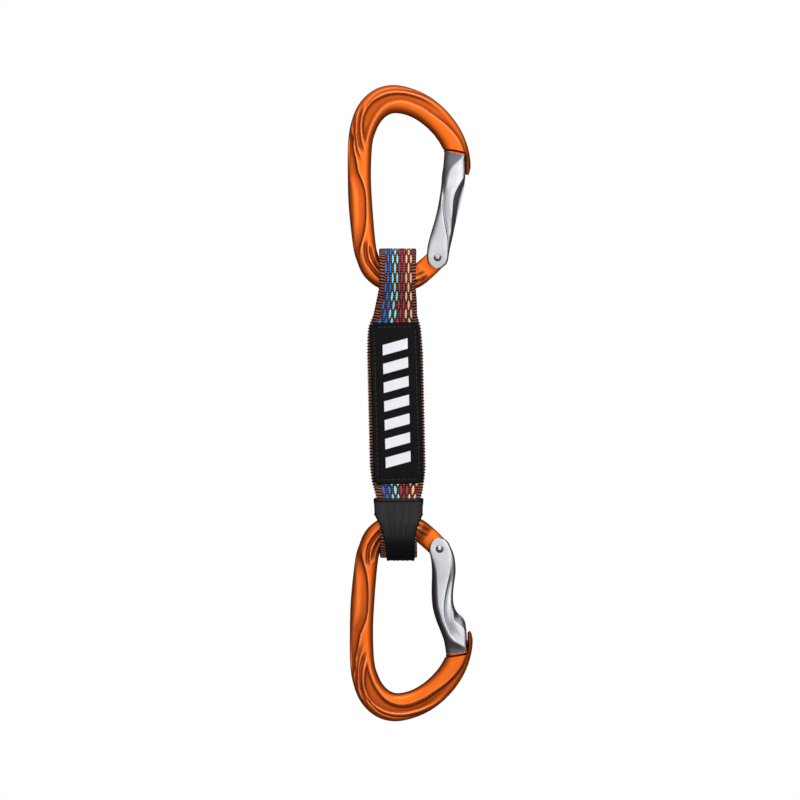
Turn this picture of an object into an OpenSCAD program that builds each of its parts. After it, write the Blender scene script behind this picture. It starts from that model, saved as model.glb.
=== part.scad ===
// Climbing quickdraw: two forged carabiners joined by a sewn webbing sling.
// X points to the gate side, Y from front to back, Z up. Millimetres.
// Origin: inside of the top carabiner's crown, where the bolt hanger bears.

/* [Carabiner body] */
// Height of one carabiner over everything
body_height = 99.4; // [94:0.2:106]
// Width of one carabiner, spine to nose lip
body_width = 59.6; // [56:0.2:64]
// Front to back depth of the forged bar at crown and basket
bar_depth = 10.4; // [9.6:0.1:11.6]
// Front to back depth of the bar along the spine
spine_depth = 9; // [8:0.1:9.6]
// Depth of the forged groove that makes the bar an I section
groove_depth = 1.2; // [0.6:0.1:1.6]

/* [Gate] */
// Front to back depth of the gates
gate_depth = 10.4; // [10:0.1:11.4]
// Radius of the round pivot end of a gate
gate_end_radius = 5.2; // [5:0.05:5.5]
// How far a gate opens, degrees
gate_opening = 34; // [26:1:34]
// Radius from the pivot to the free end of a gate
gate_reach = 50.8; // [50.4:0.1:51]
// Gap between the free end of a gate and the nose shoulder
nose_gap = 0.7; // [0.5:0.1:0.9]

/* [Nose keylock] */
// Diameter of the round edge of the nose tongue
tongue_bulb = 5; // [4.6:0.1:5.2]
// Thickness of the neck of the nose tongue
tongue_neck = 3; // [2.6:0.1:3.2]
// Clearance round the tongue inside the gate
tongue_gap = 0.5; // [0.4:0.05:0.6]

/* [Pivot] */
// Thickness of the body's tang inside the gate
tang_thick = 4; // [3.6:0.1:4.4]
// Radius of the tang round the pivot
tang_radius = 5; // [4.8:0.05:5.1]
// Gap on each side of the tang
tang_gap = 0.4; // [0.35:0.05:0.5]
// Shaft diameter of the pivot rivet
rivet_shaft = 2.6; // [2.4:0.05:2.8]
// Head diameter of the pivot rivet
rivet_head = 3.9; // [3.8:0.05:4.2]
// Running clearance on the radius of the pivot bore
pivot_gap = 0.1; // [0.06:0.01:0.1]

/* [Gate spring] */
// Bore for plunger and spring inside the gate
spring_bore = 4.4; // [4.3:0.05:4.6]
// Wire diameter of the gate spring
spring_wire = 0.6; // [0.5:0.05:0.65]
// Turns of the gate spring
spring_turns = 5; // [4:0.5:5]
// Plunger travel per radian of gate opening
plunger_lead = 2.02; // [1.9:0.01:2.1]

/* [Sling] */
// Distance between the centres of the two eyes
eye_pitch = 125.4; // [110:0.5:180]
// Thickness of the webbing
webbing_thick = 2; // [1.8:0.05:2.1]
// Width of the webbing in the sewn middle
webbing_mid = 27.2; // [25:0.1:28]
// Width of the webbing where it passes over a bar
webbing_eye = 18; // [17:0.1:18.2]
// Slack between the webbing eye and the bar
eye_slack = 0.45; // [0.4:0.05:0.8]
// Gap between webbing layers
layer_gap = 0.15; // [0.1:0.05:0.3]
// Length of the sewn overlap of the webbing's two ends
overlap_length = 50; // [40:1:56]

/* [Label and keeper] */
// Length of the label patch
label_length = 77.3; // [70:0.1:78]
// Width of the label patch
label_width = 24; // [20:0.1:24.4]
// Thickness of the label patch
label_thick = 1; // [0.9:0.05:1.2]
// Wall of the rubber keeper
keeper_wall = 1.3; // [1.2:0.05:1.5]
// Height of the keeper along the sling, above the lower eye's centre
keeper_rise = 17.2; // [15:0.1:18]

/* [Hidden] */
$fn = 48;
kx = body_width / 59.6;
kz = body_height / 99.4;
shift_x = 1;

// Centre line of the body: x, z, bar width. Starts at the pivot, goes round
// the basket, up the spine, over the crown and ends in the nose lip.
body_line = [
    [20.4, -69.3, 9.8], [15, -74.5, 10.2], [9, -79, 10.3], [1.6, -80.4, 10.3],
    [-5.4, -79.2, 10.4], [-10.6, -75, 10.6], [-13.3, -69, 10.7], [-14.8, -62.5, 11],
    [-16.5, -45, 11.4], [-17.1, -30, 11.2], [-16.7, -14.5, 11.7], [-14.9, -6, 12.7],
    [-11.7, 0.6, 13.6], [-6.8, 5.1, 13.9], [-0.9, 6.8, 13.6], [6.2, 5.7, 13],
    [13, 2.7, 12.8], [19.2, -2, 12.5], [24.5, -8, 12.1], [28.4, -15, 11.7],
    [30.4, -22.5, 11.5], [30.9, -29.8, 10.8]
];
// Straight gate, from the pivot to beyond its free end
straight_line = [
    [20.4, -69.3, 10.4], [21, -64.5, 10.8], [22.4, -58.7, 10.6], [23.9, -52.8, 10.1],
    [25.3, -47, 10.1], [26.5, -41.2, 10.4], [27.6, -35.3, 11], [28.2, -29.4, 11.2],
    [28.5, -25, 10.6], [28.6, -16, 9.6]
];
// Bent gate, the same way
bent_line = [
    [20.4, -69.3, 10.4], [21.9, -64.5, 11.3], [22.4, -58.7, 11.4], [22, -53, 10.8],
    [21.7, -47.2, 10.3], [22.2, -41.5, 10.2], [24, -36, 10.6], [26.3, -31, 11.2],
    [27.9, -25.5, 10.8], [28.8, -16, 9.8]
];

pivot_x = 20.4 * kx;
pivot_z = -69.3 * kz;
bore_angle = 81;
lobe_angle = bore_angle + 40;
lobe_reach = 4.6;
lobe_radius = 1.6;
slot_radius = 7.2;
shoulder_reach = gate_reach + nose_gap;
tongue_reach = shoulder_reach - tongue_bulb / 2 - 2;
lip_x = 34.2 * kx;
plunger_start = 5.5;
plunger_radius = spring_bore / 2 - 0.4;
plunger_length = 6;
spring_start = plunger_start + plunger_length + 0.2;
spring_end = 19.7;
bore_end = 20;
spring_mean = spring_bore / 2 - 0.35 - spring_wire / 2;
steps = 4;

// ---- curve helpers ----
function smooth(t) = t <= 0 ? 0 : (t >= 1 ? 1 : t * t * (3 - 2 * t));
function spline(a, b, c, d, t) =
    0.5 * (2 * b + (c - a) * t + (2 * a - 5 * b + 4 * c - d) * t * t + (3 * b - a - 3 * c + d) * t * t * t);
function scaled(line) = [for (p = line) [p[0] * kx, p[1] * kz, p[2]]];
function dense(line, n) = let (last = len(line) - 1) [
    for (i = [0 : last - 1]) for (k = [0 : n - 1])
        spline(line[max(i - 1, 0)], line[i], line[i + 1], line[min(i + 2, last)], k / n),
    line[last]
];
function heading(line, i) = let (
    a = line[max(i - 1, 0)],
    b = line[min(i + 1, len(line) - 1)],
    d = [b[0] - a[0], b[1] - a[1]]
) d / norm(d);
function side_of(line, i) = let (d = heading(line, i)) [-d[1], d[0]];
function run_to(line, i) = i == 0 ? 0 : run_to(line, i - 1) + norm([line[i][0] - line[i - 1][0], line[i][1] - line[i - 1][1]]);

// Ring of a rounded bar section: u across the bar, v front to back
ring_count = 28;
squareness = 0.78;
function power(v) = sign(v) * pow(abs(v), squareness);
function ring_u(w, k) = w / 2 * power(cos(k * 360 / ring_count));
function groove(u, w, g) = g * smooth(1.35 - abs(u) / (w * 0.26));
function ring_v(w, d, g, k) = let (v = d / 2 * power(sin(k * 360 / ring_count)))
    v - sign(v) * min(abs(v), groove(ring_u(w, k), w, g));
function ring(p, n, w, d, g) = [
    for (k = [0 : ring_count - 1])
        [p[0] + n[0] * ring_u(w, k), ring_v(w, d, g, k), p[1] + n[1] * ring_u(w, k)]
];

module skin(rings) {
    n = len(rings);
    m = len(rings[0]);
    points = [for (r = rings) for (p = r) p];
    faces = concat(
        [for (i = [0 : n - 2]) for (k = [0 : m - 1]) [i * m + k, i * m + (k + 1) % m, (i + 1) * m + (k + 1) % m]],
        [for (i = [0 : n - 2]) for (k = [0 : m - 1]) [i * m + k, (i + 1) * m + (k + 1) % m, (i + 1) * m + k]],
        [[for (k = [m - 1 : -1 : 0]) k]],
        [[for (k = [0 : m - 1]) (n - 1) * m + k]]
    );
    polyhedron(points, faces);
}

// ---- carabiner body ----
body_path = dense(scaled(body_line), steps);
body_last = len(body_path) - 1;
// Depth of the bar: thin at the tang, full in the basket, lighter along the spine
function on_spine(z) = smooth((z / kz + 72) / 14) * smooth((-6 - z / kz) / 12);
function bar_at(s, p) = let (
    full = bar_depth - (bar_depth - spine_depth) * (p[0] < 0 ? on_spine(p[1]) : 0)
) tang_thick + (full - tang_thick) * smooth((s - 7.8) / 7);
function groove_at(s, p) = groove_depth * smooth((s - 30) / 12) * smooth((185 - s) / 14);

module body_sweep() {
    skin([
        for (i = [0 : body_last]) let (s = run_to(body_path, i), p = body_path[i])
            ring(p, side_of(body_path, i), p[2], bar_at(s, p), groove_at(s, p))
    ]);
}
module at_pivot() {
    translate([pivot_x, 0, pivot_z]) rotate([90, 0, 0]) children();
}
// Things turned about the pivot axis, angles from +X towards +Z
module keylock_profile(grow) {
    translate([tongue_reach, 0]) circle(d = tongue_bulb + 2 * grow);
    translate([tongue_reach, -tongue_neck / 2 - grow * 0.8]) square([8, tongue_neck + grow * 1.6]);
}
module carabiner_body() {
    difference() {
        union() {
            difference() {
                body_sweep();
                intersection() {
                    at_pivot() cylinder(r = shoulder_reach, h = 30, center = true);
                    translate([lip_x - 20, -10, -45 * kz]) cube([20, 20, 40]);
                }
            }
            at_pivot() cylinder(r = tang_radius, h = tang_thick, center = true);
            at_pivot() rotate([0, 0, lobe_angle]) translate([lobe_reach, 0, 0])
                cylinder(r = lobe_radius, h = tang_thick, center = true);
            at_pivot() rotate_extrude(angle = 11.5, start = 72.2) intersection() {
                keylock_profile(0);
                translate([tongue_reach - 4, -4]) square([shoulder_reach - tongue_reach + 4.6, 8]);
            }
        }
        at_pivot() cylinder(d = rivet_shaft + 0.1, h = tang_thick + 4, center = true);
    }
}

// ---- gate ----
function gate_rounding(line) = let (d = heading(line, 0), n = side_of(line, 0)) [
    for (a = [80 : -16 : 16]) let (c = [line[0][0], line[0][1]] - d * gate_end_radius * sin(a))
        ring(c, n, 2 * gate_end_radius * cos(a), gate_depth - 1.6 * sin(a), 0)
];
module gate_shape(line) {
    path = dense(scaled(line), steps);
    skin(concat(
        gate_rounding(path),
        [for (i = [0 : len(path) - 1]) ring(path[i], side_of(path, i), path[i][2], gate_depth, 0)]
    ));
}
module along_bore() {
    translate([pivot_x, 0, pivot_z]) rotate([0, 90 - bore_angle, 0]) children();
}
module gate(line) {
    difference() {
        intersection() {
            gate_shape(line);
            at_pivot() cylinder(r = gate_reach, h = 30, center = true);
        }
        at_pivot() cylinder(r = slot_radius, h = tang_thick + 2 * tang_gap, center = true);
        at_pivot() cylinder(d = rivet_shaft + 2 * pivot_gap, h = 30, center = true);
        along_bore() cylinder(d = spring_bore, h = bore_end);
        at_pivot() rotate_extrude(angle = 24.5, start = 60) keylock_profile(tongue_gap);
    }
}

// ---- rivet, plunger, spring ----
module rivet() {
    at_pivot() cylinder(d = rivet_shaft, h = gate_depth + 0.6, center = true);
    for (s = [-1, 1]) at_pivot() translate([0, 0, s * (gate_depth / 2 + 0.3)])
        intersection() {
            translate([0, 0, s * (0.8 - rivet_head * 0.75)]) sphere(r = rivet_head * 0.75);
            translate([0, 0, s * 0.4]) cylinder(d = rivet_head, h = 0.8, center = true);
        }
}
module plunger() {
    along_bore() translate([0, 0, plunger_start]) cylinder(r = plunger_radius, h = plunger_length);
    along_bore() translate([0, 0, plunger_start + plunger_length - 0.1])
        cylinder(r = spring_mean - spring_wire / 2 - 0.3, h = 3);
}
function coil_point(t, k) = let (
    a = t * 360,
    z = spring_wire / 2 + t / spring_turns * (spring_end - spring_start - spring_wire),
    r = spring_mean + spring_wire / 2 * cos(k * 60)
) [r * cos(a), r * sin(a), z + spring_wire / 2 * sin(k * 60)];
coil_pitch = (spring_end - spring_start - spring_wire) / spring_turns;
echo(spring_gap_to_itself = coil_pitch - spring_wire);
module spring() {
    along_bore() translate([0, 0, spring_start])
        skin([for (i = [0 : spring_turns * 8]) [for (k = [5 : -1 : 0]) coil_point(i / 8, k)]]);
}

// ---- lower carabiner is the same forging turned upside down ----
// Height range of the bar inside the webbing eye, from the swept points
eye_mid_x = 1.3;
eye_left = eye_mid_x - webbing_eye / 2;
eye_right = eye_mid_x + webbing_eye / 2;
function edge_at(i, s) = let (n = side_of(body_path, i), p = body_path[i]) [p[0] + s * n[0] * p[2] / 2, p[1] + s * n[1] * p[2] / 2];
edge_points = [for (i = [0 : body_last]) if (body_path[i][1] < -50 * kz) for (s = [-1, 1]) edge_at(i, s)];
function cross_z(a, b, x) = a[1] + (b[1] - a[1]) * (x - a[0]) / (b[0] - a[0]);
in_eye = [for (p = edge_points) if (p[0] > eye_left - 0.9 && p[0] < eye_right + 0.9) p[1]];
bar_top = max(in_eye);
bar_low = min(in_eye);
eye_z = (bar_top + bar_low) / 2;
eye_radius = (bar_top - bar_low) / 2 + eye_slack;
echo(bar_top = bar_top, bar_low = bar_low, eye_z = eye_z, eye_radius = eye_radius);
lower_z = 2 * eye_z - eye_pitch;
eye_low_z = eye_z - eye_pitch;
module lower() {
    translate([shift_x, 0, lower_z]) mirror([0, 0, 1]) children();
}

// ---- webbing strip: one strip, its two ends overlap in the sewn middle ----
pitch = webbing_thick + layer_gap;
eye_centre_line = eye_radius + webbing_thick / 2;
meet = 23;
mid_z = eye_z - eye_pitch / 2;
function arc_points(cz, r, a0, a1, n) = [for (i = [0 : n]) let (a = a0 + (a1 - a0) * i / n) [r * cos(a), cz + r * sin(a)]];
// Angle, seen from the eye centre, of the tangent towards a point of a layer
function tangent_angle(y, drop, s) = let (d = norm([y, drop])) atan2(-drop, y) + s * acos(eye_centre_line / d);
tan_m = tangent_angle(0, meet + 3, 1);
tan_f = tangent_angle(-pitch, meet, -1);
tan_b = tangent_angle(pitch, meet, 1);
strip_path = concat(
    [[0, mid_z - overlap_length / 2], [0, eye_z - meet - 3]],
    arc_points(eye_z, eye_centre_line, tan_m, tan_f + 360, 26),
    [[-pitch, eye_z - meet], [-pitch, eye_low_z + meet]],
    arc_points(eye_low_z, eye_centre_line, -tan_f - 360 + 360, -tan_b + 360, 26),
    [[pitch, eye_low_z + meet], [pitch, mid_z + overlap_length / 2]]
);
strip_last = len(strip_path) - 1;
function unit(v) = v / norm(v);
function strip_normal(i) = let (
    a = i > 0 ? unit(strip_path[i] - strip_path[i - 1]) : unit(strip_path[1] - strip_path[0]),
    b = i < strip_last ? unit(strip_path[i + 1] - strip_path[i]) : a,
    n = unit([-(a[1] + b[1]), a[0] + b[0]])
) n / max(0.5, n * [-a[1], a[0]]);
function strip_side(s) = [for (i = [0 : strip_last]) strip_path[i] + strip_normal(i) * s];
module strip_profile() {
    polygon(concat(
        strip_side(webbing_thick / 2),
        [for (i = [strip_last : -1 : 0]) strip_path[i] - strip_normal(i) * webbing_thick / 2]
    ));
}
// Seen from the front: drop from the upper eye (or rise from the lower), centre, width
upper_edge = [[-14, 1.3, 0], [8, 1.1, 0], [14.5, 0.7, 0.2], [20.5, 0.1, 0.36], [26, -0.2, 0.82], [31, -0.2, 0.94], [37.5, 0, 1]];
lower_edge = [[32, 1.3, 1], [29, 1.4, 0.93], [25, 1.4, 0.82], [20.5, 1.7, 0.58], [17, 1.7, 0.4], [9, 1.7, 0.26], [5, 1.7, 0], [-15, 1.7, 0]];
function web_width(f) = webbing_eye + (webbing_mid - webbing_eye) * f;
outline_rows = concat(
    [for (r = upper_edge) [eye_z - r[0], r[1], web_width(r[2])]],
    [for (r = lower_edge) [eye_low_z + r[0], r[1], web_width(r[2])]]
);
module front_outline(rows, grow) {
    n = len(rows);
    polygon(concat(
        [for (r = rows) [r[1] - r[2] / 2 - grow, r[0]]],
        [for (i = [n - 1 : -1 : 0]) [rows[i][1] + rows[i][2] / 2 + grow, rows[i][0]]]
    ));
}
module along_x(w) {
    translate([-w / 2, 0, 0]) rotate([90, 0, 90]) linear_extrude(w) children();
}
module along_y(d) {
    rotate([90, 0, 0]) linear_extrude(d, center = true) children();
}
tack_rows = [-17, 0, 17];
tack_width = 16;
tack_thread = 0.8;
module tack_at(i) {
    translate([0.7, 0, mid_z + tack_rows[i]]) children();
}
module webbing_strip() {
    difference() {
        intersection() {
            along_x(40) strip_profile();
            along_y(60) front_outline(outline_rows, 0);
        }
        for (i = [0 : 2]) tack_at(i) for (s = [-1.5, -0.5, 0.5, 1.5])
            translate([s * tack_width / 4, 0, 0]) rotate([90, 0, 0]) cylinder(d = tack_thread + 0.2, h = 20, center = true);
    }
}
front_y = -pitch - webbing_thick / 2;
back_y = pitch + webbing_thick / 2;
module bar_tack(i) {
    tack_at(i) {
        for (s = [-1.5, -0.5, 0.5, 1.5]) translate([s * tack_width / 4, 0, 0])
            rotate([90, 0, 0]) cylinder(d = tack_thread, h = back_y - front_y + 0.3, center = true);
        translate([-tack_width / 2, front_y - 0.45, -1.1]) cube([tack_width, 0.4, 2.2]);
        translate([-tack_width / 2, back_y + 0.05, -1.1]) cube([tack_width, 0.4, 2.2]);
    }
}

// ---- label patch ----
label_radius = 2.8;
label_top = mid_z + label_length / 2;
label_tilt = 1.5;
function corner(cx, cy, a0) = [for (i = [0 : 6]) [cx + label_radius * cos(a0 + i * 15), cy + label_radius * sin(a0 + i * 15)]];
function rounded(w, h) = concat(
    corner(w / 2 - label_radius, h / 2 - label_radius, 0),
    corner(-w / 2 + label_radius, h / 2 - label_radius, 90),
    corner(-w / 2 + label_radius, -h / 2 + label_radius, 180),
    corner(w / 2 - label_radius, -h / 2 + label_radius, 270)
);
module on_label(y) {
    translate([0.8, y, mid_z]) rotate([0, -label_tilt, 0]) children();
}
label_back = front_y - 0.1;
label_face = label_back - label_thick;
module label_patch() {
    difference() {
        on_label(label_back - label_thick / 2) along_y(label_thick) polygon(rounded(label_width, label_length));
        for (i = [0 : 2]) tack_at(i)
            translate([-tack_width / 2 - 0.2, label_back - 0.5, -1.3]) cube([tack_width + 0.4, 1, 2.6]);
    }
}
// Generic marks in the place of the printing: a column of slanted bars
mark_count = 7;
mark_pitch = 9;
mark_height = 5;
module label_marks() {
    on_label(label_face - 0.2) for (i = [0 : mark_count - 1])
        translate([0, 0, (i - (mark_count - 1) / 2) * mark_pitch])
            along_y(0.3) polygon([[-6, -mark_height / 2 - 1.5], [6, -mark_height / 2 + 1.5], [6, mark_height / 2 + 1.5], [-6, mark_height / 2 - 1.5]]);
}
stitch_inset = 2.1;
stitch_pitch = 2.4;
stitch_long = 1.7;
module stitch(x, z, turn) {
    translate([x, 0, z]) rotate([0, turn, 0]) translate([-0.25, -0.15, -stitch_long / 2]) cube([0.5, 0.3, stitch_long]);
}
module label_stitching() {
    down = floor((label_length / 2 - stitch_inset - 1.6) / stitch_pitch);
    over = floor((label_width / 2 - stitch_inset - 1.6) / stitch_pitch);
    on_label(label_face - 0.2) {
        for (i = [-down : down]) for (s = [-1, 1]) stitch(s * (label_width / 2 - stitch_inset), i * stitch_pitch, 0);
        for (i = [-over : over]) for (s = [-1, 1]) stitch(i * stitch_pitch, s * (label_length / 2 - stitch_inset), 90);
    }
}

// ---- rubber keeper round the lower eye ----
keeper_gap = 0.1;
keeper_inner = eye_radius + webbing_thick + keeper_gap;
function keeper_side(r, y, drop, s) = let (d = norm([y, drop])) atan2(-drop, y) + s * acos(r / d);
// Drop-shaped closed outline round the webbing at the lower eye, opened above
function keeper_drop(r, y) = let (
    a = keeper_side(r, y, meet, 1)
) concat([[-y, eye_low_z + meet]], arc_points(eye_low_z, r, 180 + a, 360 - a, 22), [[y, eye_low_z + meet]]);
keeper_rows = [
    [eye_low_z + keeper_rise, 1.7, 23.9], [eye_low_z + keeper_rise - 2.2, 1.7, 23.9],
    [eye_low_z + keeper_rise - 2.6, 1.7, 23.3], [eye_low_z + 9.2, 1.7, 23.1], [eye_low_z + 8, 1.8, 22],
    [eye_low_z + 5, 1.8, 18.4], [eye_low_z - 3, 2.4, 14.2], [eye_low_z - 18, 2.9, 13]
];
inner_rows = [
    [eye_low_z + keeper_rise + 1, 1.7, 24.5], [eye_low_z + keeper_rise - 2.2, 1.7, 21.7],
    [eye_low_z + 9.2, 1.7, 20.7]
];
module keeper() {
    difference() {
        intersection() {
            along_x(40) polygon(keeper_drop(keeper_inner + keeper_wall, front_y * -1 + 1.6));
            along_y(60) front_outline(keeper_rows, 0);
        }
        along_x(60) polygon(keeper_drop(keeper_inner, -front_y + 0.3));
    }
    difference() {
        intersection() {
            along_x(40) polygon(keeper_drop(keeper_inner + keeper_wall - 0.01, front_y * -1 + 1.59));
            along_y(60) front_outline([
                [eye_low_z + keeper_rise, 1.7, 23.89], [eye_low_z + keeper_rise - 2.2, 1.7, 23.89],
                [eye_low_z + keeper_rise - 2.6, 1.7, 23.29], [eye_low_z + 9.6, 1.7, 23.09]
            ], 0);
        }
        along_y(60) front_outline(inner_rows, 0.15);
    }
}

// ---- pieces ----
module top_body() { color([0.93, 0.42, 0.16]) carabiner_body(); }
module top_gate() { color([0.7, 0.71, 0.73]) gate(straight_line); }
module top_gate_rivet() { color([0.75, 0.75, 0.76]) rivet(); }
module top_gate_plunger() { color([0.6, 0.6, 0.62]) plunger(); }
module top_gate_spring() { color([0.55, 0.56, 0.58]) spring(); }
module bottom_body() { color([0.93, 0.42, 0.16]) lower() carabiner_body(); }
module bottom_gate() { color([0.7, 0.71, 0.73]) lower() gate(bent_line); }
module bottom_gate_rivet() { color([0.75, 0.75, 0.76]) lower() rivet(); }
module bottom_gate_plunger() { color([0.6, 0.6, 0.62]) lower() plunger(); }
module bottom_gate_spring() { color([0.55, 0.56, 0.58]) lower() spring(); }
module webbing() { color([0.36, 0.2, 0.16]) webbing_strip(); }
module bar_tack_upper() { color([0.15, 0.1, 0.1]) bar_tack(2); }
module bar_tack_middle() { color([0.15, 0.1, 0.1]) bar_tack(1); }
module bar_tack_lower() { color([0.15, 0.1, 0.1]) bar_tack(0); }
module label() { color([0.08, 0.08, 0.08]) label_patch(); }
module label_stitches() { color([0.14, 0.14, 0.14]) label_stitching(); }
module label_print() { color([0.9, 0.9, 0.92]) label_marks(); }
module rubber_keeper() { color([0.15, 0.15, 0.16]) keeper(); }

top_body();
top_gate();
top_gate_rivet();
top_gate_plunger();
top_gate_spring();
bottom_body();
bottom_gate();
bottom_gate_rivet();
bottom_gate_plunger();
bottom_gate_spring();
webbing();
bar_tack_upper();
bar_tack_middle();
bar_tack_lower();
label();
label_stitches();
label_print();
rubber_keeper();
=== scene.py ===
import math

import bpy
import bmesh
import numpy as np
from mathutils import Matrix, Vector


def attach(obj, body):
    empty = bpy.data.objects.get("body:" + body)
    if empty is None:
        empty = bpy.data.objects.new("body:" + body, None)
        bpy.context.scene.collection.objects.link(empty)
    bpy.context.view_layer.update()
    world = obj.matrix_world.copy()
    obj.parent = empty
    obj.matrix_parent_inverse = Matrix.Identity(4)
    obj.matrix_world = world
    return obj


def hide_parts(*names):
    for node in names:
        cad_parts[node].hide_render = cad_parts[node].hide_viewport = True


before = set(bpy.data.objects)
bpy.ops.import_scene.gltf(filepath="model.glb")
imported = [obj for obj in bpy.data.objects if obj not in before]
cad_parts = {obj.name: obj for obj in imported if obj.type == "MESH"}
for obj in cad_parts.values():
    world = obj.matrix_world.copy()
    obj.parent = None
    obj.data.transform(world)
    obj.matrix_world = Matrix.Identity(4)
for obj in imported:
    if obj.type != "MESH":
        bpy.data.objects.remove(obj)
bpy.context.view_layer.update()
MM = 0.001

# ---------------------------------------------------------------------------
# Sizes shared with the solids, in millimetres
# ---------------------------------------------------------------------------
# each line runs from the pivot on: X, Z and the width there
BODY_LINE = [
    (20.4, -69.3, 9.8), (15, -74.5, 10.2), (9, -79, 10.3), (1.6, -80.4, 10.3),
    (-5.4, -79.2, 10.4), (-10.6, -75, 10.6), (-13.3, -69, 10.7), (-14.8, -62.5, 11),
    (-16.5, -45, 11.4), (-17.1, -30, 11.2), (-16.7, -14.5, 11.7), (-14.9, -6, 12.7),
    (-11.7, 0.6, 13.6), (-6.8, 5.1, 13.9), (-0.9, 6.8, 13.6), (6.2, 5.7, 13),
    (13, 2.7, 12.8), (19.2, -2, 12.5), (24.5, -8, 12.1), (28.4, -15, 11.7),
    (30.4, -22.5, 11.5), (30.9, -29.8, 10.8),
]
STRAIGHT_LINE = [
    (20.4, -69.3, 10.4), (21, -64.5, 10.8), (22.4, -58.7, 10.6), (23.9, -52.8, 10.1),
    (25.3, -47, 10.1), (26.5, -41.2, 10.4), (27.6, -35.3, 11), (28.2, -29.4, 11.2),
    (28.5, -25, 10.6), (28.6, -16, 9.6),
]
BENT_LINE = [
    (20.4, -69.3, 10.4), (21.9, -64.5, 11.3), (22.4, -58.7, 11.4), (22, -53, 10.8),
    (21.7, -47.2, 10.3), (22.2, -41.5, 10.2), (24, -36, 10.6), (26.3, -31, 11.2),
    (27.9, -25.5, 10.8), (28.8, -16, 9.8),
]
PIVOT = (20.4, -69.3)
BAR_DEPTH, SPINE_DEPTH, TANG = 10.4, 9.0, 4.0
GATE_DEPTH, GATE_REACH, SHOULDER_REACH = 10.4, 50.8, 51.5
# half width of the keylock tongue's bulb and neck, and the bulb's distance from the pivot
BULB, NECK = 2.5, 1.5
TONGUE_REACH = SHOULDER_REACH - BULB - 2
# the body's round end at the pivot, and the small lobe on it that the plunger rests on
TANG_RADIUS, LOBE_RADIUS, LOBE_REACH, LOBE_ANGLE = 5.0, 1.6, 4.6, 121
# the gate's slot for that end, its rivet bore and its spring bore, which leans from the vertical
SLOT_RADIUS, SLOT_HALF, RIVET_BORE, SPRING_BORE, SPRING_LEAN = 7.2, 2.4, 1.4, 2.2, 9
# the sling's two eyes, and where the lower carabiner lies
EYE_Z, EYE_LOW_Z, EYE_RADIUS, EYE_DISTANCE = -76.4156, -201.8156, 9.584, 125.4
LOWER_X, LOWER_Z = 1, 2 * EYE_Z - EYE_DISTANCE
MID_Z = EYE_Z - EYE_DISTANCE / 2
# distance between the webbing's layers, and its thickness
LAYER, WEB = 2.15, 2.0
# the weave: colour columns, the pitch of floats and ribs, and the form of a float
COLUMN, COLUMNS = 1.2, 12
FLOAT_PITCH, RIB_PITCH, SELVEDGE_PITCH = 9.0, 1.12, 1.44
FLOAT_WIDTH, FLOAT_POINT, FLOAT_HALF = 1.72, 2.4, 0.285
# half width of the weave across the strip, and its shift to the left
WEAVE_HALF, WEAVE_SHIFT = 10.0, 0.5
# how much a surface's roughness changes from patch to patch
GLOSS_SPREAD = 0.12
# half depth of the cutters that go through everything
CUT_HALF = 9


# ---------------------------------------------------------------------------
# Shader groups and materials
# ---------------------------------------------------------------------------
def new_group(name, inputs, outputs):
    group = bpy.data.node_groups.new(name, "ShaderNodeTree")
    for title, kind, value in inputs:
        socket = group.interface.new_socket(title, in_out="INPUT", socket_type=kind)
        if value is not None:
            socket.default_value = value
    for title, kind in outputs:
        group.interface.new_socket(title, in_out="OUTPUT", socket_type=kind)
    return group, group.nodes.new("NodeGroupInput"), group.nodes.new("NodeGroupOutput")


def tree_tools(tree):
    """Two short calls for one node tree: a calculation, and a mix of two colours."""
    nodes, links = tree.nodes, tree.links

    def feed(socket, value):
        if isinstance(value, (int, float, tuple)):
            socket.default_value = value
        else:
            links.new(value, socket)

    def calc(kind, a, b=None, c=None, clamp=False):
        node = nodes.new("ShaderNodeMath")
        node.operation, node.use_clamp = kind, clamp
        for socket, value in zip(node.inputs, (a, b, c)):
            if value is not None:
                feed(socket, value)
        return node.outputs[0]

    def blend(factor, a, b):
        node = nodes.new("ShaderNodeMix")
        node.data_type = "RGBA"
        for i, value in ((0, factor), (6, a), (7, b)):
            feed(node.inputs[i], value)
        return node.outputs[2]

    return calc, blend


def srgb(r, g, b):
    def lin(v):
        v = v / 255
        return v / 12.92 if v <= 0.04045 else ((v + 0.055) / 1.055) ** 2.4
    return (lin(r), lin(g), lin(b), 1.0)


def make_surface_grain():
    """Fine grain of a finished surface: a height, and a mask of broad patches."""
    group, gin, gout = new_group(
        "surface_grain",
        [("Fine", "NodeSocketFloat", 2500.0), ("Broad", "NodeSocketFloat", 60.0)],
        [("Height", "NodeSocketFloat"), ("Patches", "NodeSocketFloat")],
    )
    n, l = group.nodes, group.links
    place = n.new("ShaderNodeTexCoord")
    fine, broad = n.new("ShaderNodeTexNoise"), n.new("ShaderNodeTexNoise")
    for node, socket in ((fine, "Fine"), (broad, "Broad")):
        l.new(place.outputs["Object"], node.inputs["Vector"])
        l.new(gin.outputs[socket], node.inputs["Scale"])
        node.inputs["Detail"].default_value = 3
    l.new(fine.outputs["Fac"], gout.inputs["Height"])
    l.new(broad.outputs["Fac"], gout.inputs["Patches"])
    return group


def start_material(name):
    mat = bpy.data.materials.new(name)
    mat.use_nodes = True
    nodes, links = mat.node_tree.nodes, mat.node_tree.links
    return mat, nodes, links, nodes["Principled BSDF"]


def place_group(nodes, group, **values):
    """A group's node with these input values."""
    node = nodes.new("ShaderNodeGroup")
    node.node_tree = group
    for key, value in values.items():
        node.inputs[key].default_value = value
    return node


def stored(nodes, title):
    """A value that is stored on the mesh."""
    node = nodes.new("ShaderNodeAttribute")
    node.attribute_name = title
    return node.outputs["Fac"]


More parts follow.
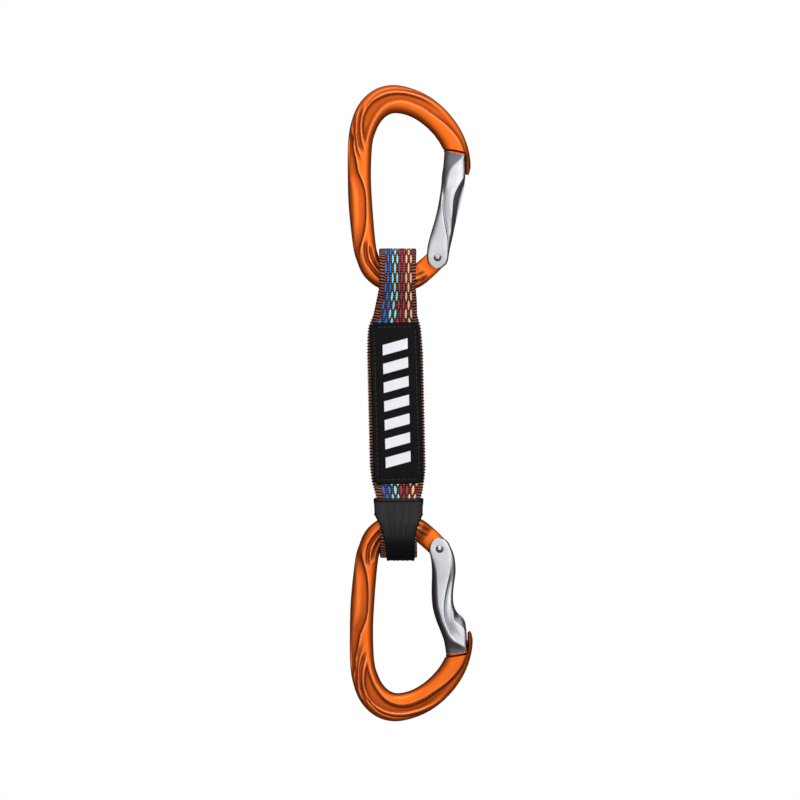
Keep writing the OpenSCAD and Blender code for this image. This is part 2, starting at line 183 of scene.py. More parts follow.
def bump(nodes, links, shader, height, distance):
    node = nodes.new("ShaderNodeBump")
    node.inputs["Distance"].default_value = distance
    links.new(height, node.inputs["Height"])
    links.new(node.outputs["Normal"], shader.inputs["Normal"])


def finish_material(name, colour, darker, rough, metallic, grain, broad, fine=2500.0, specular=0.5):
    """A plain finish with its grain, patchy colour and patchy gloss."""
    mat, n, l, shader = start_material(name)
    calc, blend = tree_tools(mat.node_tree)
    grain_node = place_group(n, GRAIN, Fine=fine, Broad=broad)
    patches = grain_node.outputs["Patches"]
    l.new(blend(patches, darker, colour), shader.inputs["Base Color"])
    gloss = calc("MULTIPLY_ADD", patches, GLOSS_SPREAD, rough - GLOSS_SPREAD / 2)
    l.new(gloss, shader.inputs["Roughness"])
    shader.inputs["Metallic"].default_value = metallic
    shader.inputs["Specular IOR Level"].default_value = specular
    bump(n, l, shader, grain_node.outputs["Height"], grain)
    return mat


def make_woven_columns():
    """Warp floats in three-wide colour columns over a ribbed ground, from the strip's own UV."""
    titles = ("Shade", "Float", "Index", "Rib", "Height", "Dome")
    group, gin, gout = new_group(
        "woven_columns",
        [("Column", "NodeSocketFloat", COLUMN), ("Float pitch", "NodeSocketFloat", FLOAT_PITCH),
         ("Rib pitch", "NodeSocketFloat", RIB_PITCH)],
        [(title, "NodeSocketFloat") for title in titles],
    )
    n, l = group.nodes, group.links
    calc = tree_tools(group)[0]
    uv = n.new("ShaderNodeUVMap")
    uv.uv_map = "weave"
    split = n.new("ShaderNodeSeparateXYZ")
    l.new(uv.outputs["UV"], split.inputs[0])
    across, along = split.outputs["X"], split.outputs["Y"]
    shifted = calc("ADD", calc("DIVIDE", across, gin.outputs["Column"]), COLUMNS / 2)
    index = calc("FLOOR", shifted)
    local = calc("SUBTRACT", calc("FRACT", shifted), 0.5)
    # every second column starts half a float later; 40 keeps the index above zero
    odd = calc("MULTIPLY", calc("MODULO", calc("ADD", index, 40), 2), 0.5)
    turn = calc("ADD", calc("DIVIDE", along, gin.outputs["Float pitch"]), odd)
    phase = calc("SUBTRACT", calc("FRACT", turn), 0.5)
    # a pointed oval: |phase| against a half length that shrinks to the sides
    side = calc("POWER", calc("MULTIPLY", calc("ABSOLUTE", local), FLOAT_WIDTH), FLOAT_POINT)
    reach = calc("MULTIPLY", calc("SUBTRACT", 1.0, side), FLOAT_HALF)
    edge = calc("MULTIPLY", calc("SUBTRACT", reach, calc("ABSOLUTE", phase)), 22, clamp=True)
    inside = calc("MULTIPLY", calc("GREATER_THAN", shifted, 0.0), calc("LESS_THAN", shifted, COLUMNS))
    floats = calc("MULTIPLY", edge, inside)
    # weft ribs: fine between the columns, coarser and leaning at the selvedges
    off = calc("MAXIMUM", calc("SUBTRACT", shifted, COLUMNS), calc("MULTIPLY", shifted, -1.0))
    selvedge = calc("MULTIPLY", calc("ADD", off, 0.1), 8.0, clamp=True)
    wobble = n.new("ShaderNodeTexNoise")
    l.new(uv.outputs["UV"], wobble.inputs["Vector"])
    wobble.inputs["Scale"].default_value = 0.55
    lean = calc("ADD", along, calc("MULTIPLY", off, 0.14))
    lean = calc("ADD", lean, calc("MULTIPLY", wobble.outputs["Fac"], 0.9))
    pick = n.new("ShaderNodeTexWhiteNoise")
    pick.noise_dimensions = "2D"
    cell = n.new("ShaderNodeCombineXYZ")
    l.new(index, cell.inputs[0])
    l.new(calc("FLOOR", turn), cell.inputs[1])
    l.new(cell.outputs[0], pick.inputs["Vector"])
    fine_turn = calc("MULTIPLY", calc("DIVIDE", along, gin.outputs["Rib pitch"]), 2 * math.pi)
    wide_turn = calc("MULTIPLY", calc("DIVIDE", lean, SELVEDGE_PITCH), 2 * math.pi)
    fine_rib = calc("MULTIPLY_ADD", calc("SINE", fine_turn), 0.5, 0.5)
    wide_rib = calc("MULTIPLY_ADD", calc("SINE", wide_turn), 0.5, 0.5)
    # the warp between two columns leaves a pin hole at each side of a rib, low in the height and painted dark
    # as shade
    pin = calc("POWER", calc("MULTIPLY", calc("ABSOLUTE", local), 2.0), 3.0)
    fine_rib = calc("MULTIPLY", fine_rib, calc("SUBTRACT", 1.0, calc("MULTIPLY", pin, 0.75)))
    middle_rib = calc("MULTIPLY", fine_rib, calc("SUBTRACT", 1.0, selvedge))
    rib = calc("ADD", middle_rib, calc("MULTIPLY", wide_rib, selvedge))
    # a float is highest in its middle
    dome = calc("SUBTRACT", 1.25, calc("MULTIPLY", calc("MULTIPLY", local, local), 3.2))
    dome = calc("SUBTRACT", dome, calc("MULTIPLY", calc("MULTIPLY", phase, phase), 6.0))
    raised = calc("MULTIPLY", floats, dome)
    ground = calc("MULTIPLY", calc("SUBTRACT", 1.0, floats), calc("MULTIPLY", rib, 0.75))
    height = calc("ADD", raised, ground)
    for title, value in zip(titles, (pick.outputs["Value"], floats, index, rib, height, dome)):
        l.new(value, gout.inputs[title])
    return group


def make_webbing_material():
    """Brown ribbed ground with the coloured floats over it, with painted shade between the ribs and towards
    each float's edges.
    """
    mat, n, l, shader = start_material("woven_webbing")
    calc, blend = tree_tools(mat.node_tree)
    weave = place_group(n, WEAVE)
    grain_node = place_group(n, GRAIN, Fine=3500.0, Broad=110.0)
    # painted shade: near black in the gaps between the ribs and in the pin holes
    thread = calc("POWER", weave.outputs["Rib"], 2.9)
    brown = blend(grain_node.outputs["Patches"], srgb(126, 62, 46), srgb(212, 126, 98))
    ground = blend(thread, srgb(12, 4, 4), brown)
    picker = n.new("ShaderNodeValToRGB")
    picker.color_ramp.interpolation = "CONSTANT"
    l.new(calc("DIVIDE", calc("ADD", weave.outputs["Index"], 0.5), COLUMNS), picker.inputs[0])
    stops = [
        (0.0, srgb(30, 122, 220)), (0.25, srgb(146, 238, 240)),
        (0.5, srgb(178, 60, 76)), (0.75, srgb(255, 196, 164)),
    ]
    ramp = picker.color_ramp.elements
    ramp[0].position, ramp[0].color = stops[0]
    ramp[1].position, ramp[1].color = stops[1]
    for spot, colour in stops[2:]:
        ramp.new(spot).color = colour
    # painted shading: each float is full colour in its middle and darker towards its edges, more or less from
    # float to float
    lit = calc("MULTIPLY_ADD", weave.outputs["Shade"], 0.5, 0.78)
    painted_shading = calc("MULTIPLY", weave.outputs["Dome"], lit, clamp=True)
    yarn_in_painted_shade = blend(0.42, srgb(14, 6, 18), picker.outputs["Color"])
    yarn = blend(painted_shading, yarn_in_painted_shade, picker.outputs["Color"])
    l.new(blend(weave.outputs["Float"], ground, yarn), shader.inputs["Base Color"])
    shader.inputs["Roughness"].default_value = 0.72
    shader.inputs["Sheen Weight"].default_value = 0.04
    shader.inputs["Specular IOR Level"].default_value = 0.12
    fuzz = calc("MULTIPLY", grain_node.outputs["Height"], 0.3)
    bump(n, l, shader, calc("ADD", weave.outputs["Height"], fuzz), 0.0005)
    return mat


def make_anodised():
    """Dyed anodising, with painted shade in the hollows, in the creases and on the side walls, and painted
    highlights on the ridges.
    """
    mat, n, l, shader = start_material("orange_anodised")
    calc, blend = tree_tools(mat.node_tree)
    grain_node = place_group(n, GRAIN, Fine=2500.0, Broad=70.0)
    patches = grain_node.outputs["Patches"]
    painted_relief_light, sunk = stored(n, "painted_relief_light"), stored(n, "sunk")
    dye = blend(patches, srgb(240, 104, 24), srgb(252, 120, 36))
    # painted shade: darker the deeper the relief is sunk
    painted_hollow_shade = blend(calc("MULTIPLY", sunk, 0.4, clamp=True), dye, srgb(112, 30, 6))
    # painted shade where the relief bends inwards
    deep = blend(calc("MULTIPLY", painted_relief_light, -0.65, clamp=True), painted_hollow_shade, srgb(58, 9, 1))
    # painted highlights where the relief stands proud
    faces = blend(calc("MULTIPLY", painted_relief_light, 0.55, clamp=True), deep, srgb(255, 158, 98))
    # painted shade on the side walls: darker the more a surface turns away from the front
    place = n.new("ShaderNodeTexCoord")
    split = n.new("ShaderNodeSeparateXYZ")
    l.new(place.outputs["Normal"], split.inputs[0])
    wall = calc("SUBTRACT", 1.0, calc("ABSOLUTE", split.outputs["Y"]), clamp=True)
    l.new(blend(wall, faces, srgb(132, 26, 3)), shader.inputs["Base Color"])
    l.new(calc("MULTIPLY_ADD", patches, GLOSS_SPREAD, 0.3), shader.inputs["Roughness"])
    shader.inputs["Metallic"].default_value = 0.82
    shader.inputs["Specular IOR Level"].default_value = 0.3
    bump(n, l, shader, grain_node.outputs["Height"], 0.000006)
    return mat


def make_gate_metal():
    """Tumbled grey metal, with painted shade on its falling faces and beside its crease, painted highlights
    along the crease, and rougher where it is painted darker.
    """
    mat, n, l, shader = start_material("gate_polished")
    calc, blend = tree_tools(mat.node_tree)
    grain_node = place_group(n, GRAIN, Fine=2500.0, Broad=90.0)
    patches, sunk = grain_node.outputs["Patches"], stored(n, "sunk")
    metal = blend(patches, srgb(196, 198, 206), srgb(248, 247, 250))
    # painted shade and painted highlights, stored on the gate as sunk
    l.new(blend(sunk, metal, srgb(104, 102, 111)), shader.inputs["Base Color"])
    gloss = calc("MULTIPLY_ADD", patches, 0.1, 0.22)
    l.new(calc("MULTIPLY_ADD", sunk, 0.22, gloss), shader.inputs["Roughness"])
    shader.inputs["Metallic"].default_value = 1.0
    bump(n, l, shader, grain_node.outputs["Height"], 0.000004)
    return mat


GRAIN = make_surface_grain()
WEAVE = make_woven_columns()
ANODISED = make_anodised()
GATE_METAL = make_gate_metal()
STEEL = finish_material(
    "rivet_steel", srgb(226, 222, 212), srgb(186, 184, 178), 0.2, 1.0, grain=0.000004, broad=300.0)
SPRING_STEEL = finish_material(
    "spring_steel", srgb(150, 150, 152), srgb(120, 120, 122), 0.3, 1.0, grain=0.000004, broad=300.0)
LABEL_BLACK = finish_material(
    "label_black", srgb(11, 11, 12), srgb(5, 5, 6), 0.6, 0.0,
    fine=1800.0, broad=90.0, grain=0.00006, specular=0.1)
LABEL_WHITE = finish_material(
    "label_white", srgb(236, 238, 243), srgb(222, 224, 230), 0.5, 0.0,
    fine=1800.0, broad=200.0, grain=0.00005)
RUBBER = finish_material(
    "keeper_rubber", srgb(17, 17, 19), srgb(9, 9, 10), 0.36, 0.0,
    fine=1400.0, broad=70.0, grain=0.00003, specular=0.2)
THREAD = finish_material(
    "sewing_thread", srgb(46, 44, 46), srgb(20, 20, 22), 0.7, 0.0,
    fine=4000.0, broad=900.0, grain=0.0001, specular=0.3)
WEBBING = make_webbing_material()


# ---------------------------------------------------------------------------
# Mesh helpers
# ---------------------------------------------------------------------------
def smooth_step(t):
    t = np.clip(t, 0.0, 1.0)
    return t * t * (3 - 2 * t)


def spline(points, step):
    """Catmull-Rom line through the points, resampled evenly."""
    p = np.array(points, float)
    out = []
    for i in range(len(p) - 1):
        a, b, c, d = p[max(i - 1, 0)], p[i], p[i + 1], p[min(i + 2, len(p) - 1)]
        for t in np.arange(0, 1, 1 / 24):
            square, cube = 2 * a - 5 * b + 4 * c - d, 3 * b - a - 3 * c + d
            out.append(0.5 * (2 * b + (c - a) * t + square * t**2 + cube * t**3))
    out.append(p[-1])
    out = np.array(out)
    run = np.concatenate([[0], np.cumsum(np.linalg.norm(np.diff(out[:, :2], axis=0), axis=1))])
    n = max(2, int(round(run[-1] / step)))
    at = np.linspace(0, run[-1], n + 1)
    return np.stack([np.interp(at, run, out[:, k]) for k in range(out.shape[1])], axis=1), at


def headings(line):
    """Unit directions along a line in X and Z."""
    d = np.gradient(line[:, :2], axis=0)
    return d / np.linalg.norm(d, axis=1)[:, None]


def grid_faces(rows, cols, cap=True):
    """Faces between rings of points, with both ends closed if asked."""
    faces = []
    for i in range(rows - 1):
        for k in range(cols):
            k2 = (k + 1) % cols
            faces.append((i * cols + k, i * cols + k2, (i + 1) * cols + k2, (i + 1) * cols + k))
    if cap:
        faces.append(tuple(range(cols - 1, -1, -1)))
        faces.append(tuple((rows - 1) * cols + k for k in range(cols)))
    return faces


def make_object(name, verts, faces, material, smooth_angle=40, mm=True):
    mesh = bpy.data.meshes.new(name)
    verts = np.asarray(verts, float) * (MM if mm else 1)
    mesh.from_pydata(verts.tolist(), [], faces)
    mesh.validate()
    obj = bpy.data.objects.new(name, mesh)
    bpy.context.scene.collection.objects.link(obj)
    tidy_normals(obj, smooth_angle)
    mesh.materials.append(material)
    return obj


def tidy_normals(obj, smooth_angle):
    mesh = obj.data
    bm = bmesh.new()
    bm.from_mesh(mesh)
    bmesh.ops.recalc_face_normals(bm, faces=bm.faces)
    bm.to_mesh(mesh)
    bm.free()
    mesh.shade_smooth()
    mesh.set_sharp_from_angle(angle=math.radians(smooth_angle))


def nearest_on_line(points, line):
    """Distance to a polyline, share of its length, and on which side (+ left, - right)."""
    best = np.full(len(points), 1e9)
    share = np.zeros(len(points))
    side = np.zeros(len(points))
    line = np.asarray(line, float)
    lengths = np.linalg.norm(np.diff(line, axis=0), axis=1)
    total, before = lengths.sum(), 0.0
    for a, b, length in zip(line[:-1], line[1:], lengths):
        d = (b - a) / length
        rel = points - a
        t = np.clip(rel @ d, 0, length)
        off = rel - t[:, None] * d
        dist = np.linalg.norm(off, axis=1)
        near = dist < best
        best = np.where(near, dist, best)
        share = np.where(near, (before + t) / total, share)
        side = np.where(near, np.sign(d[0] * rel[:, 1] - d[1] * rel[:, 0]), side)
        before += length
    return best, share, side


def cut(obj, cutters, kind="DIFFERENCE"):
    """Boolean cuts with throwaway cutter objects."""
    for cutter in cutters:
        mod = obj.modifiers.new("cut", "BOOLEAN")
        mod.operation, mod.solver, mod.object = kind, "EXACT", cutter
        deps = bpy.context.evaluated_depsgraph_get()
        mesh = bpy.data.meshes.new_from_object(obj.evaluated_get(deps))
        old = obj.data
        obj.modifiers.clear()
        obj.data = mesh
        bpy.data.meshes.remove(old)
    for cutter in cutters:
        bpy.data.objects.remove(cutter)


def prism(outline, y0, y1):
    """Closed outline in X and Z, pulled through Y."""
    n = len(outline)
    verts = [(x, y0, z) for x, z in outline] + [(x, y1, z) for x, z in outline]
    faces = [(i, (i + 1) % n, n + (i + 1) % n, n + i) for i in range(n)]
    faces += [tuple(range(n - 1, -1, -1)), tuple(range(n, 2 * n))]
    return make_object("prism", verts, faces, STEEL)


def full_turn(n):
    """Angles of n points round a circle."""
    return np.linspace(0, 2 * math.pi, n, endpoint=False)


def round_bar(start, end, radius, n):
    """Cylinder between two points."""
    a, b = np.array(start, float), np.array(end, float)
    d = (b - a) / np.linalg.norm(b - a)
    side = np.cross(d, [0, 0, 1] if abs(d[2]) < 0.9 else [1, 0, 0])
    side /= np.linalg.norm(side)
    up = np.cross(d, side)
    ring = [side * math.cos(t) * radius + up * math.sin(t) * radius for t in full_turn(n)]
    verts = [a + r for r in ring] + [b + r for r in ring]
    return make_object("round_bar", verts, grid_faces(2, n), STEEL)


def cross_pin(at, half, radius, n):
    """Cylinder along Y through one point of X and Z."""
    return round_bar((at[0], -half, at[1]), (at[0], half, at[1]), radius, n)


def about_pivot(reach, angle):
    """The point in X and Z at a distance and an angle (in radians) from the pivot."""
    return PIVOT[0] + reach * math.cos(angle), PIVOT[1] + reach * math.sin(angle)


def turned(profile, start, end, n):
    """A closed (reach, y) profile turned about the pivot's Y axis from one angle to another."""
    verts = []
    for t in np.radians(np.linspace(start, end, n)):
        for reach, y in profile:
            x, z = about_pivot(reach, t)
            verts.append((x, y, z))
    return make_object("turned", verts, grid_faces(n, len(profile)), STEEL)


def join(parts, name):
    """One object from several closed meshes."""
    bm = bmesh.new()
    slots = []
    for part in parts:
        base = len(bm.faces)
        own = part.data.materials
        bm.from_mesh(part.data)
        bm.faces.ensure_lookup_table()
        for mat in own:
            if mat not in slots:
                slots.append(mat)
        for face in bm.faces[base:]:
            face.material_index = slots.index(own[min(face.material_index, len(own) - 1)])
    mesh = bpy.data.meshes.new(name)
    bm.to_mesh(mesh)
    bm.free()
    for mat in slots:
        mesh.materials.append(mat)
    for part in parts:
        bpy.data.objects.remove(part)
    obj = bpy.data.objects.new(name, mesh)
    bpy.context.scene.collection.objects.link(obj)
    return obj


def to_lower(obj):
    """Turns a top carabiner piece upside down into the lower carabiner's place."""
    mesh = obj.data
    co = np.empty(len(mesh.vertices) * 3)
    mesh.vertices.foreach_get("co", co)
    co = co.reshape(-1, 3)
    co[:, 0] += LOWER_X * MM
    co[:, 2] = LOWER_Z * MM - co[:, 2]
    mesh.vertices.foreach_set("co", co.ravel())
    mesh.flip_normals()
    mesh.update()
    return obj


# ---------------------------------------------------------------------------
# Forged carabiner body
# ---------------------------------------------------------------------------
# Room for the gate's free end: where the nose is cut back to, the lip's inner face, and the corner's radius
NOSE_REACH = SHOULDER_REACH + 0.75
LIP_X, CORNER = 34.5, 2.2
# What is cut off the outside of the lip's tip
LIP_TIP = [
    (34.9, -30.6), (37.4, -30.6), (37.4, -23.5), (36.5, -25.0), (36.1, -27.0), (35.8, -28.4), (35.3, -29.5),
]
# Low rail across the nose: its reaches and half depth, and half the depth of the web behind it
RAIL_BACK, RAIL_FRONT, RAIL_HALF, RAIL_WEB = 50.85, 51.25, 4.6, 1.6

# The crown's sunk band: its steep outer wall, and the ridge it rises to inside
CROWN_WALL = [
    (-14.1, -20.7), (-14.3, -16.8), (-15.1, -13.9), (-15.9, -10.6), (-16.3, -6.7), (-16.0, -2.9),
    (-14.9, 0.5), (-13.2, 3.3), (-10.8, 5.9), (-7.2, 8.1), (-2.9, 9.6), (2.4, 10.0), (7.2, 9.3),
    (12.0, 7.9), (16.8, 6.0), (20.1, 4.3), (23.5, 2.2), (27.5, -1.4), (30.8, -5.6), (33.2, -10.2),
    (34.8, -15.0), (35.8, -20.0), (36.2, -25.0), (36.4, -30.0),
]
CROWN_RIDGE = [
    (-13.7, -20.7), (-13.6, -16.8), (-13.0, -12.5), (-11.5, -7.5), (-9.5, -3.1), (-6.8, 0.7),
    (-4.1, 3.1), (-1.2, 4.4), (2.4, 5.1), (6.7, 4.4), (10.0, 3.1), (13.4, 1.6), (16.9, -0.7),
    (20.9, -3.4), (24.4, -6.1), (27.7, -9.4), (30.3, -12.8), (32.0, -16.2), (33.0, -19.5),
    (33.8, -24.3), (34.4, -30.0),
]
# Forged hollows on each face: line in X and Z, depth, half width to the left
# and to the right of the line, and how far each end fades in (share of length)
HOLLOWS = [
    # thin line round the outside of the crown's band
    ([(-15.6, -0.5), (-13.9, 3.1), (-11.6, 6.1), (-8.0, 9.0), (-2.9, 10.8), (2.4, 11.2), (7.6, 10.4),
      (12.9, 8.9), (18.7, 6.3)],
     0.38, 0.6, 0.6, 0.15, 0.15),
    # swirls on the crown's outer shoulder
    ([(-14.5, -20.7), (-15.9, -17.3), (-16.9, -13.7), (-17.5, -9.6), (-17.6, -5.8), (-17.0, -1.9),
      (-15.8, 1.7), (-13.8, 5.0)],
     0.8, 1.15, 0.95, 0.22, 0.3),
    ([(-15.6, -25.5), (-17.3, -21.6), (-18.8, -17.3), (-19.4, -13.0), (-19.6, -8.7), (-19.2, -3.9),
      (-18.1, 0.5)],
     0.6, 1.1, 0.9, 0.3, 0.3),
    # long flutes that pass under the webbing
    ([(-13.6, -59.5), (-14.2, -65), (-13.6, -70.2), (-11.7, -73.6), (-9, -76.8), (-5, -79.9), (1.6, -81.8),
      (8, -81.4), (11.5, -80.4), (14.5, -78.6), (17.4, -77.1)],
     1.0, 1.1, 1.0, 0.12, 0.05),
    ([(-11.9, -62.2), (-11.4, -67.2), (-10, -70.9), (-7.7, -74.3), (-3, -77.4), (2, -78.8), (8, -78.4),
      (11.3, -77.3), (13.4, -76.2), (15.9, -75.2)],
     0.9, 0.9, 0.9, 0.12, 0.06),
]
# Depth of the crown's band and of the spine's panel, in millimetres
CROWN_DEPTH, PANEL_DEPTH = 1.15, 1.25
# Panel sunk into the outer half of the spine: steep on its inner side
SPINE_PANEL = [
    (-19.5, -7.7), (-20.0, -11.1), (-20.2, -14.9), (-20.0, -18.3), (-19.2, -22.1),
    (-18.1, -28.3), (-17.3, -30.2),
    (-16.22, -32.69), (-14.98, -36.29), (-14.4, -40.13), (-14.21, -44.26), (-14.16, -47.95),
    (-14.35, -52.22), (-14.93, -56.5), (-15.89, -60.24), (-16.85, -63.46), (-17.33, -66.62),
    (-17.09, -70.37),
]


def fair(points):
    """A drawn line as a fine smooth polyline."""
    return spline([(x, z, 0) for x, z in points], 0.8)[0][:, :2]


def relief(points):
    """How deep the forging dies pressed each point of a face, in millimetres."""
    wall_gap, wall_share, wall_side = nearest_on_line(points, fair(CROWN_WALL))
    ridge_gap, _, ridge_side = nearest_on_line(points, fair(CROWN_RIDGE))
    between = (wall_side < 0) & (ridge_side > 0)
    ends = smooth_step(wall_share / 0.06) * smooth_step((0.97 - wall_share) / 0.14)
    # towards the nose the wall softens and the foot of the ridge tightens to a crease
    late = smooth_step((wall_share - 0.5) / 0.22)
    floor = smooth_step(wall_gap / (1.5 + 3.0 * late)) * smooth_step(ridge_gap / (2.1 - 0.9 * late))
    depth = np.where(between, CROWN_DEPTH * ends * floor, 0)
    for line, deep, left, right, fade_in, fade_out in HOLLOWS:
        gap, share, side = nearest_on_line(points, fair(line))
        half = np.where(side > 0, left, right)
        ends = smooth_step(share / fade_in) * smooth_step((1 - share) / fade_out)
        depth = np.maximum(depth, deep * ends * smooth_step(1.25 - gap / half))
    gap, share, side = nearest_on_line(points, fair(SPINE_PANEL))
    half = np.where(side < 0, 5.0, 0.6)
    ends = smooth_step(share / 0.1) * smooth_step((1 - share) / 0.12)
    panel = np.where(side < 0, smooth_step(1.1 - gap / half), smooth_step(1 - gap / half))
    return np.maximum(depth, PANEL_DEPTH * ends * panel)


# The part of the body that the press maps cover, and their grid step, in millimetres
MAP_X, MAP_Z, MAP_STEP = (-26.0, 40.0), (-86.0, 14.0), 0.2


def press_maps():
    """The relief on a fine grid over one face, and how far each spot stands proud (+) or sunk (-)."""
    xs, zs = np.arange(*MAP_X, MAP_STEP), np.arange(*MAP_Z, MAP_STEP)
    gx, gz = np.meshgrid(xs, zs, indexing="ij")
    depth = relief(np.stack([gx.ravel(), gz.ravel()], axis=1)).reshape(gx.shape)

    def around(reach, steps):
        return sum(np.roll(depth, (i * reach, k * reach), (0, 1)) for i, k in steps) / len(steps)
    tight = around(3, ((1, 0), (-1, 0), (0, 1), (0, -1)))
    wide = around(5, ((1, 1), (-1, 1), (1, -1), (-1, -1)))
    return depth, (tight - depth) * 2.2 + (wide - depth) * 1.8


def read_map(grid, x, z):
    """A press map's values at places of the body, between its grid points."""
    i = np.clip((x - MAP_X[0]) / MAP_STEP, 0, grid.shape[0] - 1.001)
    k = np.clip((z - MAP_Z[0]) / MAP_STEP, 0, grid.shape[1] - 1.001)
    i0, k0 = i.astype(int), k.astype(int)
    a, b = i - i0, k - k0
    low = grid[i0, k0] * (1 - a) + grid[i0 + 1, k0] * a
    high = grid[i0, k0 + 1] * (1 - a) + grid[i0 + 1, k0 + 1] * a
    return low * (1 - b) + high * b


def store_painted_light(obj, depth_map, proud_map, first_inside, first_web):
    """Stores painted light for a face's material: painted highlights on its proud spots and painted shade in
    its sunk spots.
    """
    mesh = obj.data
    co = np.empty(len(mesh.vertices) * 3)
    mesh.vertices.foreach_get("co", co)
    co = co.reshape(-1, 3) / MM
    face = smooth_step((np.abs(co[:, 1]) - 1.6) / 1.6)
    # painted highlights where the relief stands proud and painted shade where it bends in, on the faces only
    painted_light = read_map(proud_map, co[:, 0], co[:, 2])
    painted_light = np.where(painted_light < 0, np.clip(painted_light * 0.8, -0.8, 0), np.clip(painted_light * 1.15, 0, 1)) * face
    # painted shade by how deep each spot is sunk
    sunk = np.clip(read_map(depth_map, co[:, 0], co[:, 2]), 0, 1.2) * face
    # what lies down inside the gaps round the gate's end, the web among it, is painted dark as shade
    order = np.arange(len(co))
    past_gate = np.hypot(co[:, 0] - PIVOT[0], co[:, 2] - PIVOT[1]) > GATE_REACH - 0.4
    past_gate |= co[:, 0] > LIP_X - 1.2
    inside = (np.abs(co[:, 1]) < 2.6) & ((order >= first_web) | ((order >= first_inside) & past_gate))
    sunk = np.where(inside, 2.5, sunk)
    painted_light = np.where(inside, -1.0, painted_light)
    for title, values in (("painted_relief_light", painted_light), ("sunk", sunk)):
        layer = mesh.attributes.new(title, "FLOAT", "POINT")
        layer.data.foreach_set("value", values.astype(np.float32))


def even_ring(count, across, through):
    """Points spaced evenly round a squared-off oval of unit half size."""
    angles = np.linspace(0, 2 * math.pi, 4001)
    u = np.sign(np.cos(angles)) * np.abs(np.cos(angles)) ** across
    v = np.sign(np.sin(angles)) * np.abs(np.sin(angles)) ** through
    run = np.concatenate([[0], np.cumsum(np.hypot(np.diff(u), np.diff(v)))])
    at = np.linspace(0, run[-1], count, endpoint=False)
    return np.interp(at, run, u), np.interp(at, run, v)


def bar_rings(line, depth, count, square):
    """Rings of a bar round its line, and each point's place across it."""
    cu, cv = even_ring(count, square, square)
    d = headings(line)
    normal = np.stack([-d[:, 1], d[:, 0]], axis=1)
    x = line[:, None, 0] + normal[:, None, 0] * line[:, None, 2] / 2 * cu
    z = line[:, None, 1] + normal[:, None, 1] * line[:, None, 2] / 2 * cu
    y = depth[:, None] / 2 * cv
    return x, y, z, np.broadcast_to(cu, x.shape)


def gate_room():
    """Outline of the room for the gate's free end, in X and Z."""
    mid_x = LIP_X - CORNER
    mid_z = PIVOT[1] + math.sqrt((NOSE_REACH - CORNER) ** 2 - (mid_x - PIVOT[0]) ** 2)
    turn = math.atan2(mid_z - PIVOT[1], mid_x - PIVOT[0])
    steps = np.linspace(0, turn, 10)
    corner = [(mid_x + CORNER * math.cos(a), mid_z + CORNER * math.sin(a)) for a in steps]
    top = [about_pivot(NOSE_REACH, a) for a in np.linspace(turn, math.radians(104), 40)[1:]]
    return [(LIP_X, -45.0)] + corner + top + [(8.0, -45.0)]


def keylock_profile(grow, top):
    """Round bulb and narrower neck, as (reach, y); grow widens it for the gate's cavity."""
    bulb, neck = BULB + grow, NECK + grow * 0.8
    first = math.asin(neck / bulb)
    turns = np.linspace(first, 2 * math.pi - first, 26)
    round_part = [(TONGUE_REACH + bulb * math.cos(t), bulb * math.sin(t)) for t in turns]
    return round_part + [(top, -neck), (top, neck)]


def forge_bar(name, depth_map):
    """The bent bar with its pressed relief, flat and thin at the pivot."""
    line, run = spline(BODY_LINE, 0.3)
    spine = smooth_step((line[:, 1] + 72) / 14) * smooth_step((-6 - line[:, 1]) / 12) * (line[:, 0] < 0)
    grown = smooth_step((run - 7.8) / 7)
    depth = TANG + (BAR_DEPTH - (BAR_DEPTH - SPINE_DEPTH) * spine - TANG) * grown
    count = 204
    x, y, z, cu = bar_rings(line, depth, count, 0.78)
    sunk = read_map(depth_map, x, z)
    flat = smooth_step((0.995 - np.abs(cu)) / 0.16)
    full = smooth_step((run - 12) / 5)[:, None]
    y = y - np.sign(y) * np.minimum(np.abs(y) * 0.6, sunk * flat * full)
    verts = np.stack([x.ravel(), y.ravel(), z.ravel()], axis=1)
    return make_object(name, verts, grid_faces(len(line), count), ANODISED)


def nose_parts(whole):
    """The keylock tongue, the rail and the web in the nose."""
    tongue = turned(keylock_profile(0, SHOULDER_REACH + 0.25), 73.2, 83.7, 16)
    tongue.data.materials[0] = ANODISED
    half_rail = [(RAIL_BACK, -RAIL_HALF), (RAIL_FRONT, -RAIL_HALF)]
    half_rail += [(RAIL_FRONT, -RAIL_WEB), (NOSE_REACH + 0.4, -RAIL_WEB)]
    rail = turned(half_rail + [(reach, -y) for reach, y in reversed(half_rail)], 74.6, 86.6, 16)
    cut(rail, [whole], "INTERSECT")
    rail.data.materials.clear()
    rail.data.materials.append(ANODISED)
    # the web fills the gap between the gate's end and the lip, where there is only shade, and is painted dark
    # as shade
    behind = LIP_X + 0.2
    outline = [(33.85, -29.2), (behind, -29.6), (behind, -17.5), (33.4, -17.5), (33.5, -20.0), (33.75, -24.0)]
    web = prism(outline, -RAIL_WEB, RAIL_WEB)
    web.data.materials[0] = ANODISED
    return tongue, rail, web


